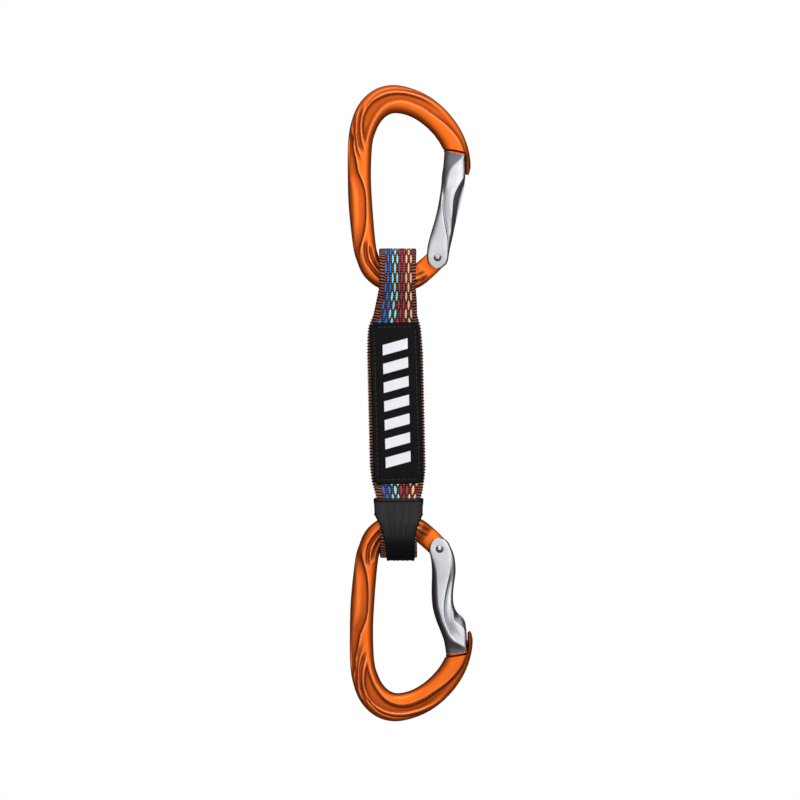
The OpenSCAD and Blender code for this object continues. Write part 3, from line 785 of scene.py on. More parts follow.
def forge_body(name):
    """The whole body: bar, nose, and the round end and the lobe at the pivot."""
    depth_map, proud_map = press_maps()
    body = forge_bar(name, depth_map)
    whole = body.copy()
    whole.data = body.data.copy()
    bpy.context.scene.collection.objects.link(whole)
    cut(body, [prism(gate_room(), -CUT_HALF, CUT_HALF)])
    cut(body, [prism(LIP_TIP, -CUT_HALF, CUT_HALF)])
    tidy_normals(body, 38)
    tang = cross_pin(PIVOT, TANG / 2, TANG_RADIUS, 72)
    lobe = cross_pin(about_pivot(LOBE_REACH, math.radians(LOBE_ANGLE)), TANG / 2, LOBE_RADIUS, 32)
    for part in (tang, lobe):
        part.data.materials[0] = ANODISED
    tongue, rail, web = nose_parts(whole)
    first_inside = sum(len(part.data.vertices) for part in (body, tang, lobe))
    first_web = first_inside + len(tongue.data.vertices) + len(rail.data.vertices)
    body = join([body, tang, lobe, tongue, rail, web], name)
    store_painted_light(body, depth_map, proud_map, first_inside, first_web)
    return body


# ---------------------------------------------------------------------------
# Gates
# ---------------------------------------------------------------------------
# Along the gate (0 at the pivot, 1 at the free end): where the bright face's
# left and right edges run, from -1 at the inner side to 1 at the outer side
STRAIGHT_FACE = [
    (0.0, -0.92, 0.92), (0.1, -0.9, 0.9), (0.27, -0.87, 0.74), (0.43, -0.84, 0.47), (0.53, -0.76, 0.3),
    (0.58, -0.7, 0.25), (0.65, -0.58, 0.33), (0.72, -0.5, 0.6), (0.78, -0.42, 0.93), (0.85, -0.19, 0.97),
    (0.9, 0.2, 0.98), (0.95, 0.84, 0.99), (1.0, 1.1, 1.2),
]
STRAIGHT_CREASE = [
    (0.13, 0.7), (0.2, 0.58), (0.27, 0.3), (0.39, -0.25), (0.51, -0.68), (0.62, -0.8), (0.74, -0.75),
]
BENT_FACE = [
    (0.0, -0.92, 0.92), (0.08, -0.9, 0.94), (0.22, -0.63, 0.95), (0.42, -0.42, 0.93), (0.56, -0.42, 0.9),
    (0.63, -0.44, 0.8), (0.68, -0.5, 0.5), (0.73, -0.5, 0.42), (0.77, -0.48, 0.58), (0.83, -0.42, 0.95),
    (0.86, -0.34, 0.98), (0.92, 0.1, 0.98), (0.96, 0.88, 0.99), (1.0, 1.2, 1.3),
]
BENT_CREASE = [
    (0.14, 0.62), (0.25, 0.55), (0.33, 0.47), (0.43, 0.34), (0.55, 0.12), (0.64, -0.12), (0.72, -0.26),
    (0.82, -0.24), (0.92, 0.1),
]

# How far the outer side swells, in millimetres: only the bent gate has a knuckle
NO_KNUCKLE = [(0, 0), (1, 0)]
BENT_KNUCKLE = [
    (0.63, 0), (0.67, 0.4), (0.705, 1.2), (0.735, 1.75), (0.77, 1.5), (0.81, 0.95), (0.87, 0.35), (0.93, 0),
]
# Radius of the gate's round end at the pivot
CAP = 5.2


def eased(span, table, column):
    """A drawn value along the gate with its corners smoothed."""
    table = np.array(table)
    shifts = np.linspace(-0.03, 0.03, 7)
    return sum(np.interp(span + shift, table[:, 0], table[:, column]) for shift in shifts) / len(shifts)


def streak(off, middle, half):
    """A soft band beside a drawn line."""
    return smooth_step(1 - np.abs(off - middle) / half)


def gate_line(line_points):
    """The gate's line with its round end at the pivot, its share of length, depth and headings."""
    line, run = spline(line_points, 0.34)
    d0 = headings(line)[0]
    cap_turn = np.radians(np.linspace(86, 6, 16))
    caps = []
    for a in cap_turn:
        x, z = (line[0, k] - d0[k] * CAP * math.sin(a) for k in (0, 1))
        caps.append([x, z, 2 * CAP * math.cos(a)])
    full = np.concatenate([np.array(caps), line])
    span = np.concatenate([np.zeros(len(caps)), run / GATE_REACH])
    depth = np.concatenate([GATE_DEPTH - 0.8 * np.sin(cap_turn), np.full(len(line), GATE_DEPTH)])
    d = headings(full)
    d[: len(caps)] = d0
    return full, span, depth, np.stack([-d[:, 1], d[:, 0]], axis=1)


def gate_section(span, count):
    """Rings of unit half size, one for each place along the gate."""
    cu, cv = even_ring(count, 0.72, 0.5)
    # squarer section at the pivot, so that its cheeks end in a full round
    boxy = (1 - smooth_step(span / 0.22))[:, None]
    cu = cu * (1 - boxy) + np.sign(cu) * np.abs(cu) ** 0.4 * boxy
    cv = cv * (1 - boxy) + np.sign(cv) * np.abs(cv) ** 0.5 * boxy
    # and squarer on the outer side of the free end, which fills the nose's lip
    lip_side = smooth_step((span - 0.66) / 0.12)[:, None] * (cu < 0)
    return cu * (1 + lip_side * cu**2 * (1 - np.abs(cu))), cv


def gate_relief(span, across, half, face_edges, crease):
    """How far the faces fall back, in millimetres, and how much painted shade each spot gets, from 0 to 1."""
    left, right = eased(span, face_edges, 1)[:, None], eased(span, face_edges, 2)[:, None]
    lean = np.interp(span, [0, 0.6, 0.74, 0.86, 1], [0.58, 0.58, 0.45, 0.26, 0.21])[:, None]
    inner_fall = np.maximum(0, (left - across) * half)
    fall = inner_fall * lean + np.maximum(0, (across - right) * half) * 0.9
    where = eased(span, crease, 1)[:, None]
    strong = smooth_step((span - crease[0][0]) / 0.2) * smooth_step((crease[-1][0] - span) / 0.14)
    off = (across - where) * half
    groove = strong[:, None] * smooth_step((off + 0.5) / 0.95) * smooth_step(1 - (off - 0.45) / 3.0)
    fall = fall + 0.72 * groove
    # painted shade on the falling inner face and along the inner edge
    painted_gate_shade = smooth_step((inner_fall - 0.1) / 1.3) * 0.85
    painted_gate_shade = np.maximum(painted_gate_shade, 0.6 * smooth_step((-across - 0.93) / 0.06))
    # greyer over the pivot, painted shade beside the crease, and painted highlight streaks along it
    cheek = smooth_step((0.5 - span) / 0.3)[:, None] * smooth_step((0.95 - np.abs(across)) / 0.35)
    beside = smooth_step((-off - 0.6) / 2.6)
    painted_shading = 0.55 * streak(off, 0.75, 0.85) + 0.3 * streak(off, 3.3, 1.0) + 0.1 * beside
    painted_highlight = streak(off, -0.55, 0.7) + streak(off, 2.0, 0.8)
    painted_gate_shade = np.clip(painted_gate_shade + 0.1 + 0.14 * cheek + (painted_shading - 0.3 * painted_highlight) * strong[:, None], 0, 1)
    # the fall levels out at its deepest
    deepest = np.interp(span, [0, 0.1, 0.2, 0.78, 0.86, 1], [1.3, 1.5, 3.0, 3.0, 1.8, 1.75])[:, None]
    return deepest * np.tanh((fall / deepest) ** 1.3) ** (1 / 1.3), painted_gate_shade


def cut_gate(gate):
    """Cuts the gate's round end face, its slot, its bores and its keylock cavity."""
    ends = np.linspace(60, 104, 60)
    end = [about_pivot(GATE_REACH - 0.15, math.radians(a)) for a in ends]
    cut(gate, [prism(end + [(end[-1][0], 20), (end[0][0], 20)], -CUT_HALF, CUT_HALF)])
    slot = cross_pin(PIVOT, SLOT_HALF, SLOT_RADIUS, 72)
    bore = cross_pin(PIVOT, CUT_HALF, RIVET_BORE, 40)
    way = (math.sin(math.radians(SPRING_LEAN)), math.cos(math.radians(SPRING_LEAN)))
    bore_end = (PIVOT[0] + way[0] * 20, 0, PIVOT[1] + way[1] * 20)
    spring_bore = round_bar((PIVOT[0], 0, PIVOT[1]), bore_end, SPRING_BORE, 32)
    keyway = turned(keylock_profile(0.5, 60), 60, 84.5, 30)
    cut(gate, [slot, bore, spring_bore, keyway])
    tidy_normals(gate, 38)


def forge_gate(name, line_points, face_edges, crease, knuckle):
    """A solid gate with its leaning faces, its crease, and its painted shade and highlights for the material.
    """
    full, span, depth, normal = gate_line(line_points)
    count = 156
    cu, cv = gate_section(span, count)
    half = full[:, None, 2] / 2
    x = full[:, None, 0] + normal[:, None, 0] * half * cu
    z = full[:, None, 1] + normal[:, None, 1] * half * cu
    y = depth[:, None] / 2 * cv
    # across, -1 inner side to 1 outer side: the line climbs, so its left is the inner side
    across = -np.broadcast_to(cu, x.shape)
    swell = eased(span, knuckle, 1)[:, None] * smooth_step((across - 0.3) / 0.6)
    x, z = x - normal[:, None, 0] * swell, z - normal[:, None, 1] * swell
    fall, painted_gate_shade = gate_relief(span, across, half, face_edges, crease)
    flat = smooth_step((np.abs(y) / (depth[:, None] / 2) - 0.25) / 0.5)
    y = y - np.sign(y) * np.minimum(np.abs(y) * 0.75, fall * flat)
    verts = np.stack([x.ravel(), y.ravel(), z.ravel()], axis=1)
    gate = make_object(name, verts, grid_faces(len(full), count), GATE_METAL)
    # the painted shade and highlights go to the material as sunk
    layer = gate.data.attributes.new("sunk", "FLOAT", "POINT")
    layer.data.foreach_set("value", painted_gate_shade.ravel().astype(np.float32))
    cut_gate(gate)
    return gate


def make_rivet(name):
    """Shaft with a domed head on each side."""
    profile = [
        (0.0, -6.28), (0.3, -6.27), (0.6, -6.22), (0.85, -6.11), (1.1, -5.95), (1.35, -5.77), (1.6, -5.58),
        (1.8, -5.4), (1.9, -5.2), (1.3, -5.1),
    ]
    profile += [(r, -y) for r, y in reversed(profile)]
    n, verts = 48, []
    for r, y in profile:
        verts += [(PIVOT[0] + r * math.cos(t), y, PIVOT[1] + r * math.sin(t)) for t in full_turn(n)]
    return make_object(name, verts, grid_faces(len(profile), n, cap=False), STEEL, 50)


# ---------------------------------------------------------------------------
# Webbing sling
# ---------------------------------------------------------------------------
# From each eye's centre: distance inwards, middle in X, and how far the strip has widened (0 to 1)
UPPER_EDGE = [
    (-14, 1.3, 0), (8, 1.1, 0), (14.5, 0.7, 0.2), (20.5, 0.1, 0.36), (26, -0.2, 0.82), (31, -0.2, 0.94),
    (37.5, 0, 1),
]
LOWER_EDGE = [
    (32, 1.3, 1), (29, 1.4, 0.93), (25, 1.4, 0.82), (20.5, 1.7, 0.58), (17, 1.7, 0.4), (9, 1.7, 0.26),
    (5, 1.7, 0), (-15, 1.7, 0),
]
NARROW, WIDENING = 18, 9.2
# Distance from an eye's centre at which the inner and the outer layers run straight, and half the overlap
INNER_DROP, OUTER_DROP, HALF_LAP = 26, 23, 25


def web_rows():
    """Height, middle and width of the strip, from the bottom up."""
    rows = [(EYE_Z - a, c, NARROW + WIDENING * f) for a, c, f in UPPER_EDGE]
    rows += [(EYE_LOW_Z + a, c, NARROW + WIDENING * f) for a, c, f in LOWER_EDGE]
    return np.array(rows)[::-1]


def tangent_angle(y, drop, s, radius):
    """Angle at which a straight line from a point above or below a circle touches it."""
    d = math.hypot(y, drop)
    return math.degrees(math.atan2(-drop, y)) + s * math.degrees(math.acos(radius / d))


def arc(cz, r, a0, a1, n):
    turns = [math.radians(a) for a in np.linspace(a0, a1, n)]
    return [(r * math.cos(t), cz + r * math.sin(t)) for t in turns]


def strip_route():
    """Centre of the webbing in Y and Z, from one end round both eyes to the other."""
    r = EYE_RADIUS + WEB / 2
    inner = tangent_angle(0, INNER_DROP, 1, r)
    front = tangent_angle(-LAYER, OUTER_DROP, -1, r)
    back = tangent_angle(LAYER, OUTER_DROP, 1, r)
    pts = [(0, MID_Z - HALF_LAP), (0, EYE_Z - INNER_DROP)]
    pts += arc(EYE_Z, r, inner, front + 360, 40)
    pts += [(-LAYER, EYE_Z - OUTER_DROP), (-LAYER, EYE_LOW_Z + OUTER_DROP)]
    pts += arc(EYE_LOW_Z, r, -front, -back + 360, 40)
    pts += [(LAYER, EYE_LOW_Z + OUTER_DROP), (LAYER, MID_Z + HALF_LAP)]
    return np.array(pts)


def settle(values, rounds):
    """Evens out a row of values in place; its ends stay."""
    for _ in range(rounds):
        values[1:-1] = values[1:-1] * 0.5 + (values[:-2] + values[2:]) * 0.25


def even_route(points, step):
    """A route's points at an even step, with its bends eased, and their distances along it."""
    run = np.concatenate([[0], np.cumsum(np.linalg.norm(np.diff(points, axis=0), axis=1))])
    n = int(round(run[-1] / step))
    at = np.linspace(0, run[-1], n + 1)
    line = np.stack([np.interp(at, run, points[:, k]) for k in range(2)], axis=1)
    settle(line, 6)
    return line, at


def woven_height(across, along):
    """How far the colour floats and the ribs stand out of the strip, in millimetres."""
    shifted = across / COLUMN + COLUMNS / 2
    local = (shifted - np.floor(shifted) - 0.5)[None, :]
    turn = along[:, None] / FLOAT_PITCH + (np.floor(shifted) % 2)[None, :] * 0.5
    phase = turn - np.floor(turn) - 0.5
    reach = (1 - (np.abs(local) * FLOAT_WIDTH) ** FLOAT_POINT) * FLOAT_HALF
    inside = ((shifted > 0) & (shifted < COLUMNS))[None, :]
    floats = np.clip((reach - np.abs(phase)) * 12, 0, 1) * inside
    dome = np.clip(1 - 2.6 * local**2 - 5.0 * phase**2, 0, 1)
    ribs = 0.5 + 0.5 * np.sin(along / RIB_PITCH * 2 * math.pi)[:, None]
    return 0.2 * floats * dome + 0.05 * ribs * (1 - floats)


def weave_webbing(name):
    line, run = even_route(strip_route(), 0.36)
    rows = web_rows()
    centre = np.interp(line[:, 1], rows[:, 0], rows[:, 1])
    width = np.interp(line[:, 1], rows[:, 0], rows[:, 2])
    d = np.gradient(line, axis=0)
    d /= np.linalg.norm(d, axis=1)[:, None]
    normal = np.stack([-d[:, 1], d[:, 0]], axis=1)
    # half section: across share and thickness share, with a rounded, ribbed edge
    flat, side = np.linspace(-0.93, 0.93, 85), np.array([0.965, 0.988, 1.0, 0.988, 0.965])
    turn = np.array([0.86, 0.6, 0.0, -0.6, -0.86])
    across = np.concatenate([flat, side, -flat, -side])
    thick = np.concatenate([np.ones(85), turn, -np.ones(85), -turn])
    beads = np.sin(run / SELVEDGE_PITCH * 2 * math.pi)
    count = len(across)
    edge = smooth_step((np.abs(across) - 0.8) / 0.2)
    grow = 1 - 0.028 * (1 - beads)[:, None] * edge
    x = centre[:, None] + width[:, None] / 2 * across * grow
    lift = WEB / 2 * thick * (1 - 0.10 * (0.5 - 0.5 * beads)[:, None] * edge - 0.02)
    lift = lift - woven_height(across * WEAVE_HALF - WEAVE_SHIFT, run) * (thick < -0.9)
    y = line[:, None, 0] + normal[:, None, 0] * lift
    z = line[:, None, 1] + normal[:, None, 1] * lift
    verts = np.stack([x.ravel(), y.ravel(), z.ravel()], axis=1)
    obj = make_object(name, verts, grid_faces(len(line), count), WEBBING, 60)
    uv = obj.data.uv_layers.new(name="weave")
    loops = np.empty(len(obj.data.loops), int)
    obj.data.loops.foreach_get("vertex_index", loops)
    u = across[loops % count] * WEAVE_HALF - WEAVE_SHIFT
    v = run[loops // count]
    uv.data.foreach_set("uv", np.stack([u, v], axis=1).astype(np.float32).ravel())
    return obj


# ---------------------------------------------------------------------------
# Label, stitches, marks, bar tacks
# ---------------------------------------------------------------------------
FRONT_Y = -LAYER - WEB / 2
LABEL_BACK = FRONT_Y - 0.1
LABEL_FACE = LABEL_BACK - 1.0
LABEL_X, LABEL_W, LABEL_H, LABEL_R = 0.8, 24.0, 77.3, 2.8
TILT = math.radians(1.5)
# Stitches: distance from the label's edge, pitch, and a stitch's length, width and height
STITCH_INSET, STITCH_PITCH, STITCH = 2.1, 2.4, (1.9, 0.55, 0.24)
# Bar tacks: middle in X, width, and the number of its zigzag stitches
TACK_X, TACK_W, TACK_STITCHES = 0.7, 16, 30


def on_label(x, z):
    """The place in X and Z of a point given from the tilted label's middle."""
    cos, sin = math.cos(TILT), math.sin(TILT)
    return LABEL_X + x * cos - z * sin, MID_Z + x * sin + z * cos


def rounded_outline(w, h, r, n=8):
    """Rectangle with round corners, about its middle."""
    cx, cz = w / 2 - r, h / 2 - r
    out = []
    for x, z, a0 in ((cx, cz, 0), (-cx, cz, 90), (-cx, -cz, 180), (cx, -cz, 270)):
        for i in range(n + 1):
            a = math.radians(a0 + 90 * i / n)
            out.append((x + r * math.cos(a), z + r * math.sin(a)))
    return out


def sew_label(name):
    """Patch with rolled edges, drawn in a little along its stitch line."""
    # inset from the edge, and distance from the back
    section = [
        (0.55, 0.0), (0.08, 0.12), (0.0, 0.4), (0.1, 0.74), (0.45, 0.95), (1.0, 0.97), (1.6, 0.84),
        (2.1, 0.76), (2.6, 0.84), (3.4, 0.96), (4.6, 0.98),
    ]
    verts = []
    for inset, up in section:
        outline = rounded_outline(LABEL_W - 2 * inset, LABEL_H - 2 * inset, max(0.3, LABEL_R - inset))
        for x, z in outline:
            wx, wz = on_label(x, z)
            verts.append((wx, LABEL_BACK - up, wz))
    return make_object(name, verts, grid_faces(len(section), len(outline)), LABEL_BLACK, 60)


def lozenge(cx, y, cz, turn, length, width, height, n=10):
    """One stitch: a short round-ended bead of thread."""
    verts = []
    rings = 9
    cos, sin = math.cos(turn), math.sin(turn)
    for i in range(rings):
        t = -1 + 2 * i / (rings - 1)
        r = math.sqrt(max(0.0, 1 - abs(t) ** 3)) if abs(t) < 1 else 0.0
        for k in range(n):
            a = 2 * math.pi * k / n
            lx, lz = width / 2 * r * math.cos(a), length / 2 * t
            verts.append((cx + lx * cos + lz * sin, y - height * r * math.sin(a), cz - lx * sin + lz * cos))
    return verts, grid_faces(rings, n, cap=False)


def many(name, shapes, material, angle=60):
    """One object from many small closed shapes."""
    verts, faces = [], []
    for v, f in shapes:
        base = len(verts)
        verts += v
        faces += [tuple(i + base for i in face) for face in f]
    return make_object(name, verts, faces, material, angle)


def sew_stitches(name):
    shapes = []
    half_w, half_h = LABEL_W / 2 - STITCH_INSET, LABEL_H / 2 - STITCH_INSET
    y = LABEL_FACE + 0.2
    down, over = (int((half - 1.6) // STITCH_PITCH) for half in (half_h, half_w))
    for i in range(-down, down + 1):
        for s in (-1, 1):
            x, z = on_label(s * half_w, i * STITCH_PITCH)
            shapes.append(lozenge(x, y, z, -TILT, *STITCH))
    for i in range(-over, over + 1):
        for s in (-1, 1):
            x, z = on_label(i * STITCH_PITCH, s * half_h)
            shapes.append(lozenge(x, y, z, math.pi / 2 - TILT, *STITCH))
    return many(name, shapes, THREAD)


def print_marks(name):
    """Seven plain slanted bars on the label."""
    shapes = []
    faces = [(0, 1, 2, 3), (4, 5, 6, 7), (0, 1, 5, 4), (1, 2, 6, 5), (2, 3, 7, 6), (3, 0, 4, 7)]
    for i in range(7):
        cz = (i - 3) * 9
        corners = [(-6, cz - 4.0), (6, cz - 1.0), (6, cz + 4.0), (-6, cz + 1.0)]
        verts = []
        for up in (0.0, 0.1):
            for x, z in corners:
                wx, wz = on_label(x, z)
                verts.append((wx, LABEL_FACE - up + 0.03, wz))
        shapes.append((verts, faces))
    return many(name, shapes, LABEL_WHITE, 30)


def sew_bar_tack(name, offset):
    """Zigzag of thread across the webbing on its back, with its feet in the holes."""
    shapes = []
    y, z = LAYER + WEB / 2 + 0.02, MID_Z + offset
    for i in range(TACK_STITCHES):
        x = TACK_X - TACK_W / 2 + TACK_W * (i + 0.5) / TACK_STITCHES
        lean = 0.28 if i % 2 else -0.28
        shapes.append(lozenge(x, y, z, lean, 2.3, 0.62, -0.38, 8))
    for side in (-1, 1):
        edge_z = z + side * 0.75
        shapes.append(lozenge(TACK_X, y + 0.05, edge_z, math.pi / 2, TACK_W + 0.2, 0.5, -0.35, 8))
    ring = [(0.35 * math.cos(t), 0, 0.35 * math.sin(t)) for t in full_turn(10)]
    for s in (-1.5, -0.5, 0.5, 1.5):
        x = TACK_X + s * TACK_W / 4
        ends = [np.array((x, -LAYER - 1.2, z)), np.array((x, y + 0.1, z))]
        shapes.append(([tuple(end + r) for end in ends for r in ring], grid_faces(2, 10)))
    return many(name, shapes, THREAD)


# ---------------------------------------------------------------------------
# Rubber keeper
# ---------------------------------------------------------------------------
# Above the eye's centre: height, middle in X, and width of the strap
KEEPER_ROWS = [
    (17.2, 1.7, 23.9), (15.0, 1.7, 23.9), (14.6, 1.7, 23.3), (9.2, 1.7, 23.1), (8, 1.8, 22), (5, 1.8, 18.4),
    (-3, 2.4, 14.2), (-18, 2.9, 13),
]
# Half thickness of the strap and its height above the eye's centre; the sleeve's middle and half width
STRAP_HALF, STRAP_TOP, SLEEVE_X, SLEEVE_HALF = 0.65, 15.4, 1.7, 11.65
# The sleeve from its rolled lip down: height above the eye's centre, and how far it swells
SLEEVE_LEVELS = [
    (17.15, -0.8), (17.2, -0.2), (17.0, 0.15), (16.6, 0.34), (16.1, 0.38), (15.6, 0.28), (15.25, 0.02),
    (15.0, -0.2), (13, -0.22), (11, -0.2), (9.9, -0.1), (9.4, 0.12), (9.0, 0.1), (8.85, -0.2), (8.85, -0.9),
]


def mould_strap(name):
    """The ribbed strap round the lower eye."""
    radius = EYE_RADIUS + WEB + 0.1 + STRAP_HALF
    side_y, top_z = 1.0 - FRONT_Y, EYE_LOW_Z + OUTER_DROP
    front = tangent_angle(-side_y, OUTER_DROP, -1, radius)
    back = tangent_angle(side_y, OUTER_DROP, 1, radius)
    mid = [(-side_y, top_z)] + arc(EYE_LOW_Z, radius, -front, 360 - back, 60) + [(side_y, top_z)]
    line = even_route(np.array(mid), 0.5)[0]
    line = line[line[:, 1] < EYE_LOW_Z + STRAP_TOP]
    rows = np.array(KEEPER_ROWS)[::-1]
    rel = line[:, 1] - EYE_LOW_Z
    centre, width = np.interp(rel, rows[:, 0], rows[:, 1]), np.interp(rel, rows[:, 0], rows[:, 2])
    settle(width, 8)
    settle(centre, 8)
    d = np.gradient(line, axis=0)
    d /= np.linalg.norm(d, axis=1)[:, None]
    normal = np.stack([d[:, 1], -d[:, 0]], axis=1)
    # outward is away from the eye's centre
    out = np.stack([line[:, 0], line[:, 1] - (EYE_LOW_Z + 6)], axis=1)
    normal *= np.sign((normal * out).sum(axis=1))[:, None]
    flat = np.linspace(-0.92, 0.92, 61)
    ribs = sum(np.exp(-(((flat - c) / 0.045) ** 2)) for c in (-0.42, -0.2, 0.16, 0.46)) * 0.22
    ribs += 0.3 * smooth_step((np.abs(flat) - 0.8) / 0.08)
    # one ring: the outer face, an edge, the inner face and the other edge
    edge, edge_lift = np.array([0.965, 0.99, 1.0, 0.99, 0.965]), np.array([0.5, 0.3, 0, -0.3, -0.5])
    across = np.concatenate([flat, edge, flat[::-1], -edge])
    lift = np.concatenate([0.55 + ribs, edge_lift, np.full(len(flat), -0.62), -edge_lift])
    x = centre[:, None] + width[:, None] / 2 * across
    y = line[:, None, 0] + normal[:, None, 0] * lift
    z = line[:, None, 1] + normal[:, None, 1] * lift
    verts = np.stack([x.ravel(), y.ravel(), z.ravel()], axis=1)
    return make_object(name, verts, grid_faces(len(line), len(across)), RUBBER, 50)


def sleeve_ring(rise, half, depth, squareness, n):
    """One ring of the sleeve: a squared-off oval."""
    ring = []
    for k in range(n):
        t = 2 * math.pi * k / n
        cx = math.copysign(abs(math.cos(t)) ** 0.35, math.cos(t))
        cy = math.copysign(abs(math.sin(t)) ** squareness, math.sin(t))
        ring.append((SLEEVE_X + half * cx, depth * cy, EYE_LOW_Z + rise))
    return ring


def mould_sleeve(name):
    """Closed rings round the webbing: down the outside, and up again inside."""
    heights = [8.8, 17.2]
    verts, n = [], 96
    for rise, swell in SLEEVE_LEVELS:
        depth = np.interp(rise, heights, [8.35, 6.5])
        verts += sleeve_ring(rise, SLEEVE_HALF + swell, depth + swell, 0.32, n)
    for rise, _ in reversed(SLEEVE_LEVELS):
        verts += sleeve_ring(rise, SLEEVE_HALF - 0.9, np.interp(rise, heights, [7.3, 5.0]), 0.6, n)
    total = 2 * len(SLEEVE_LEVELS)
    last = (total - 1) * n
    faces = grid_faces(total, n, cap=False)
    faces += [(last + k, last + (k + 1) % n, (k + 1) % n, k) for k in range(n)]
    return make_object(name, verts, faces, RUBBER, 50)


def mould_keeper(name):
    """A strap under the eye and a sleeve above it, in one piece of rubber."""
    return join([mould_strap(name), mould_sleeve(name + "_sleeve")], name)


# ---------------------------------------------------------------------------
# Make the pieces
# ---------------------------------------------------------------------------
top_body = forge_body("top_body_forging")
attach(top_body, "top_carabiner")
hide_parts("top_body")

bottom_body = bpy.data.objects.new("bottom_body_forging", top_body.data.copy())
bpy.context.scene.collection.objects.link(bottom_body)
to_lower(bottom_body)
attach(bottom_body, "bottom_carabiner")
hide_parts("bottom_body")

top_gate = forge_gate("top_gate_straight", STRAIGHT_LINE, STRAIGHT_FACE, STRAIGHT_CREASE, NO_KNUCKLE)
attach(top_gate, "top_gate")
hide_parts("top_gate")

bottom_gate = to_lower(forge_gate("bottom_gate_bent", BENT_LINE, BENT_FACE, BENT_CREASE, BENT_KNUCKLE))
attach(bottom_gate, "bottom_gate")
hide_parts("bottom_gate")

top_rivet = make_rivet("top_rivet")
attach(top_rivet, "top_carabiner")
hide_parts("top_gate_rivet")
bottom_rivet = to_lower(make_rivet("bottom_rivet"))
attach(bottom_rivet, "bottom_carabiner")
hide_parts("bottom_gate_rivet")

for node_name, material in (
    ("top_gate_plunger", STEEL), ("bottom_gate_plunger", STEEL),
    ("top_gate_spring", SPRING_STEEL), ("bottom_gate_spring", SPRING_STEEL),
):
    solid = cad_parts[node_name]
    for slot_index in range(len(solid.material_slots)):
        solid.material_slots[slot_index].material = material

webbing = weave_webbing("webbing_strip")
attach(webbing, "sling")
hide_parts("webbing")

label = sew_label("label_patch")
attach(label, "sling")
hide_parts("label")

stitches = sew_stitches("label_stitch_line")
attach(stitches, "sling")
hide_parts("label_stitches")

marks = print_marks("label_marks")
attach(marks, "sling")
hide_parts("label_print")

for tack_name, node_name, offset in (
    ("tack_lower", "bar_tack_lower", -17), ("tack_middle", "bar_tack_middle", 0),
    ("tack_upper", "bar_tack_upper", 17),
):
    tack = sew_bar_tack(tack_name, offset)
    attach(tack, "sling")
    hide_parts(node_name)

keeper = mould_keeper("keeper_moulding")
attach(keeper, "sling")
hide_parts("rubber_keeper")


# ---------------------------------------------------------------------------
# Studio
# ---------------------------------------------------------------------------
VIEW_CENTRE = (0.0024, 0.0, -0.1376)
CAMERA_AWAY, VIEW_WIDTH, SENSOR_MM = 2.4, 0.384, 36
CARD_END = 3.2


def soft_light(name, place, size, power):
    """A square lamp that shines on the middle of the view."""
    data = bpy.data.lights.new(name, "AREA")
    data.shape, data.size, data.energy = "SQUARE", size, power
    obj = bpy.data.objects.new(name, data)
    bpy.context.scene.collection.objects.link(obj)
    obj.location = place
    obj.rotation_mode = "QUATERNION"
    obj.rotation_quaternion = (Vector(VIEW_CENTRE) - Vector(place)).to_track_quat("-Z", "Y")


def level_sheet(half, y0, y1, z):
    return [(-half, y0, z), (half, y0, z), (half, y1, z), (-half, y1, z)]


def side_sheet(x, y0, y1, z0, z1):
    return [(x, y0, z0), (x, y1, z0), (x, y1, z1), (x, y0, z1)]


def add_card(name, front, back, far, corners):
    """A card seen only in reflections, fading from strength 1 at its front edge to the far strength."""
    mat, n, l, shader = start_material(name)
    shader.inputs["Base Color"].default_value = (0.01, 0.01, 0.01, 1)
    shader.inputs["Emission Color"].default_value = (1, 1, 1, 1)
    place = n.new("ShaderNodeTexCoord")
    split = n.new("ShaderNodeSeparateXYZ")
    l.new(place.outputs["Object"], split.inputs[0])
    fade = n.new("ShaderNodeMapRange")
    fade.interpolation_type = "SMOOTHSTEP"
    l.new(split.outputs["Y"], fade.inputs["Value"])
    for title, value in (("From Min", front), ("From Max", back), ("To Min", 1.0), ("To Max", far)):
        fade.inputs[title].default_value = value
    l.new(fade.outputs["Result"], shader.inputs["Emission Strength"])
    card = make_object(name, corners, [(0, 1, 2, 3)], mat, mm=False)
    card.visible_camera = card.visible_shadow = card.visible_diffuse = card.visible_transmission = False


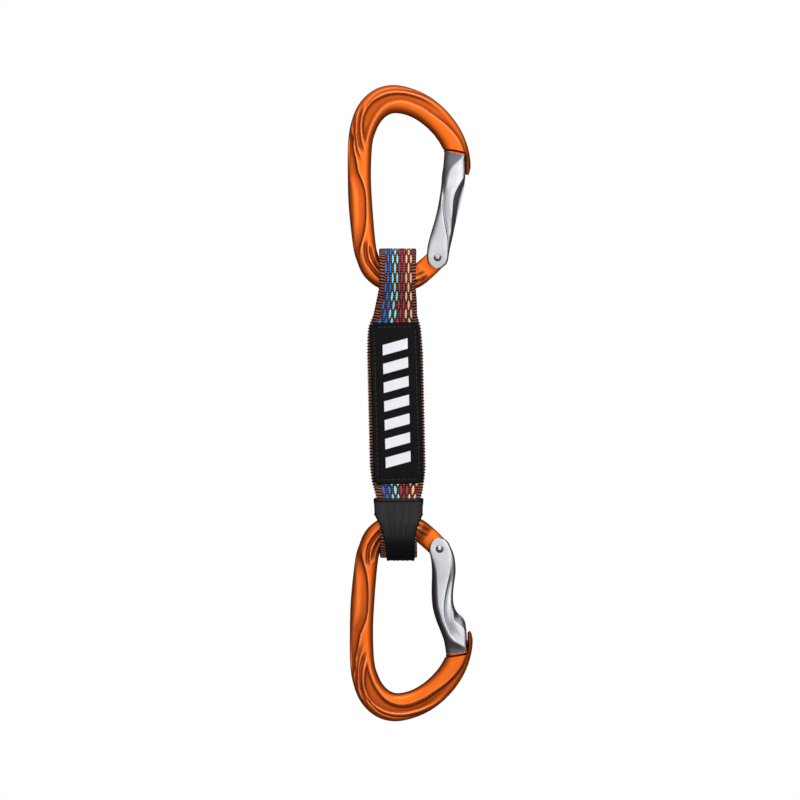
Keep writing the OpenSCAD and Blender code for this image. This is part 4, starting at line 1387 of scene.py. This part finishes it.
def add_camera(scene):
    cam = bpy.data.objects.new("camera", bpy.data.cameras.new("camera"))
    scene.collection.objects.link(cam)
    cam.location = (VIEW_CENTRE[0], -CAMERA_AWAY, VIEW_CENTRE[2])
    cam.rotation_euler = (math.pi / 2, 0, 0)
    cam.data.lens = SENSOR_MM * CAMERA_AWAY / VIEW_WIDTH
    cam.data.clip_end = 100
    scene.camera = cam


def add_world(scene):
    """White behind the object and in reflections, grey as light."""
    world = bpy.data.worlds.new("studio")
    scene.world = world
    world.use_nodes = True
    n, l = world.node_tree.nodes, world.node_tree.links
    calc, blend = tree_tools(world.node_tree)
    rays = n.new("ShaderNodeLightPath").outputs
    through = calc("MAXIMUM", rays["Is Glossy Ray"], rays["Is Transmission Ray"])
    seen = calc("MAXIMUM", rays["Is Camera Ray"], through)
    l.new(blend(seen, (0.4, 0.4, 0.4, 1), (1, 1, 1, 1)), n["Background"].inputs["Color"])


def add_floor():
    mat, _, _, shader = start_material("floor_white")
    shader.inputs["Base Color"].default_value = (0.9, 0.9, 0.9, 1)
    shader.inputs["Roughness"].default_value = 0.6
    floor = make_object("floor", level_sheet(1.6, -1.6, 0.9, -0.42), [(0, 1, 2, 3)], mat, mm=False)


def studio():
    scene = bpy.context.scene
    scene.view_settings.view_transform = "Standard"
    add_camera(scene)
    add_world(scene)
    soft_light("softbox_top", (-0.1, -0.5, 0.8), 0.5, 6)
    soft_light("softbox_front", (0.9, -1.4, 0.35), 0.6, 9)
    add_floor()
    add_card("card_left", -1.0, 0.1, 0.02, side_sheet(-0.4, -1.0, CARD_END, -0.9, 0.4))
    add_card("card_right", -1.0, 0.1, 0.02, side_sheet(0.4, -1.0, CARD_END, -0.9, 0.4))
    add_card("card_below", -1.1, -0.15, 0.02, level_sheet(0.8, -1.1, CARD_END, -0.41))
    add_card("card_above", -0.22, 0.34, 0.02, level_sheet(0.8, -0.22, CARD_END, 0.14))
    upright = [(-1.5, -2.7, -1.2), (1.5, -2.7, -1.2), (1.5, -2.7, 0.6), (-1.5, -2.7, 0.6)]
    add_card("card_front", -3.0, -2.9, 1.0, upright)


studio()
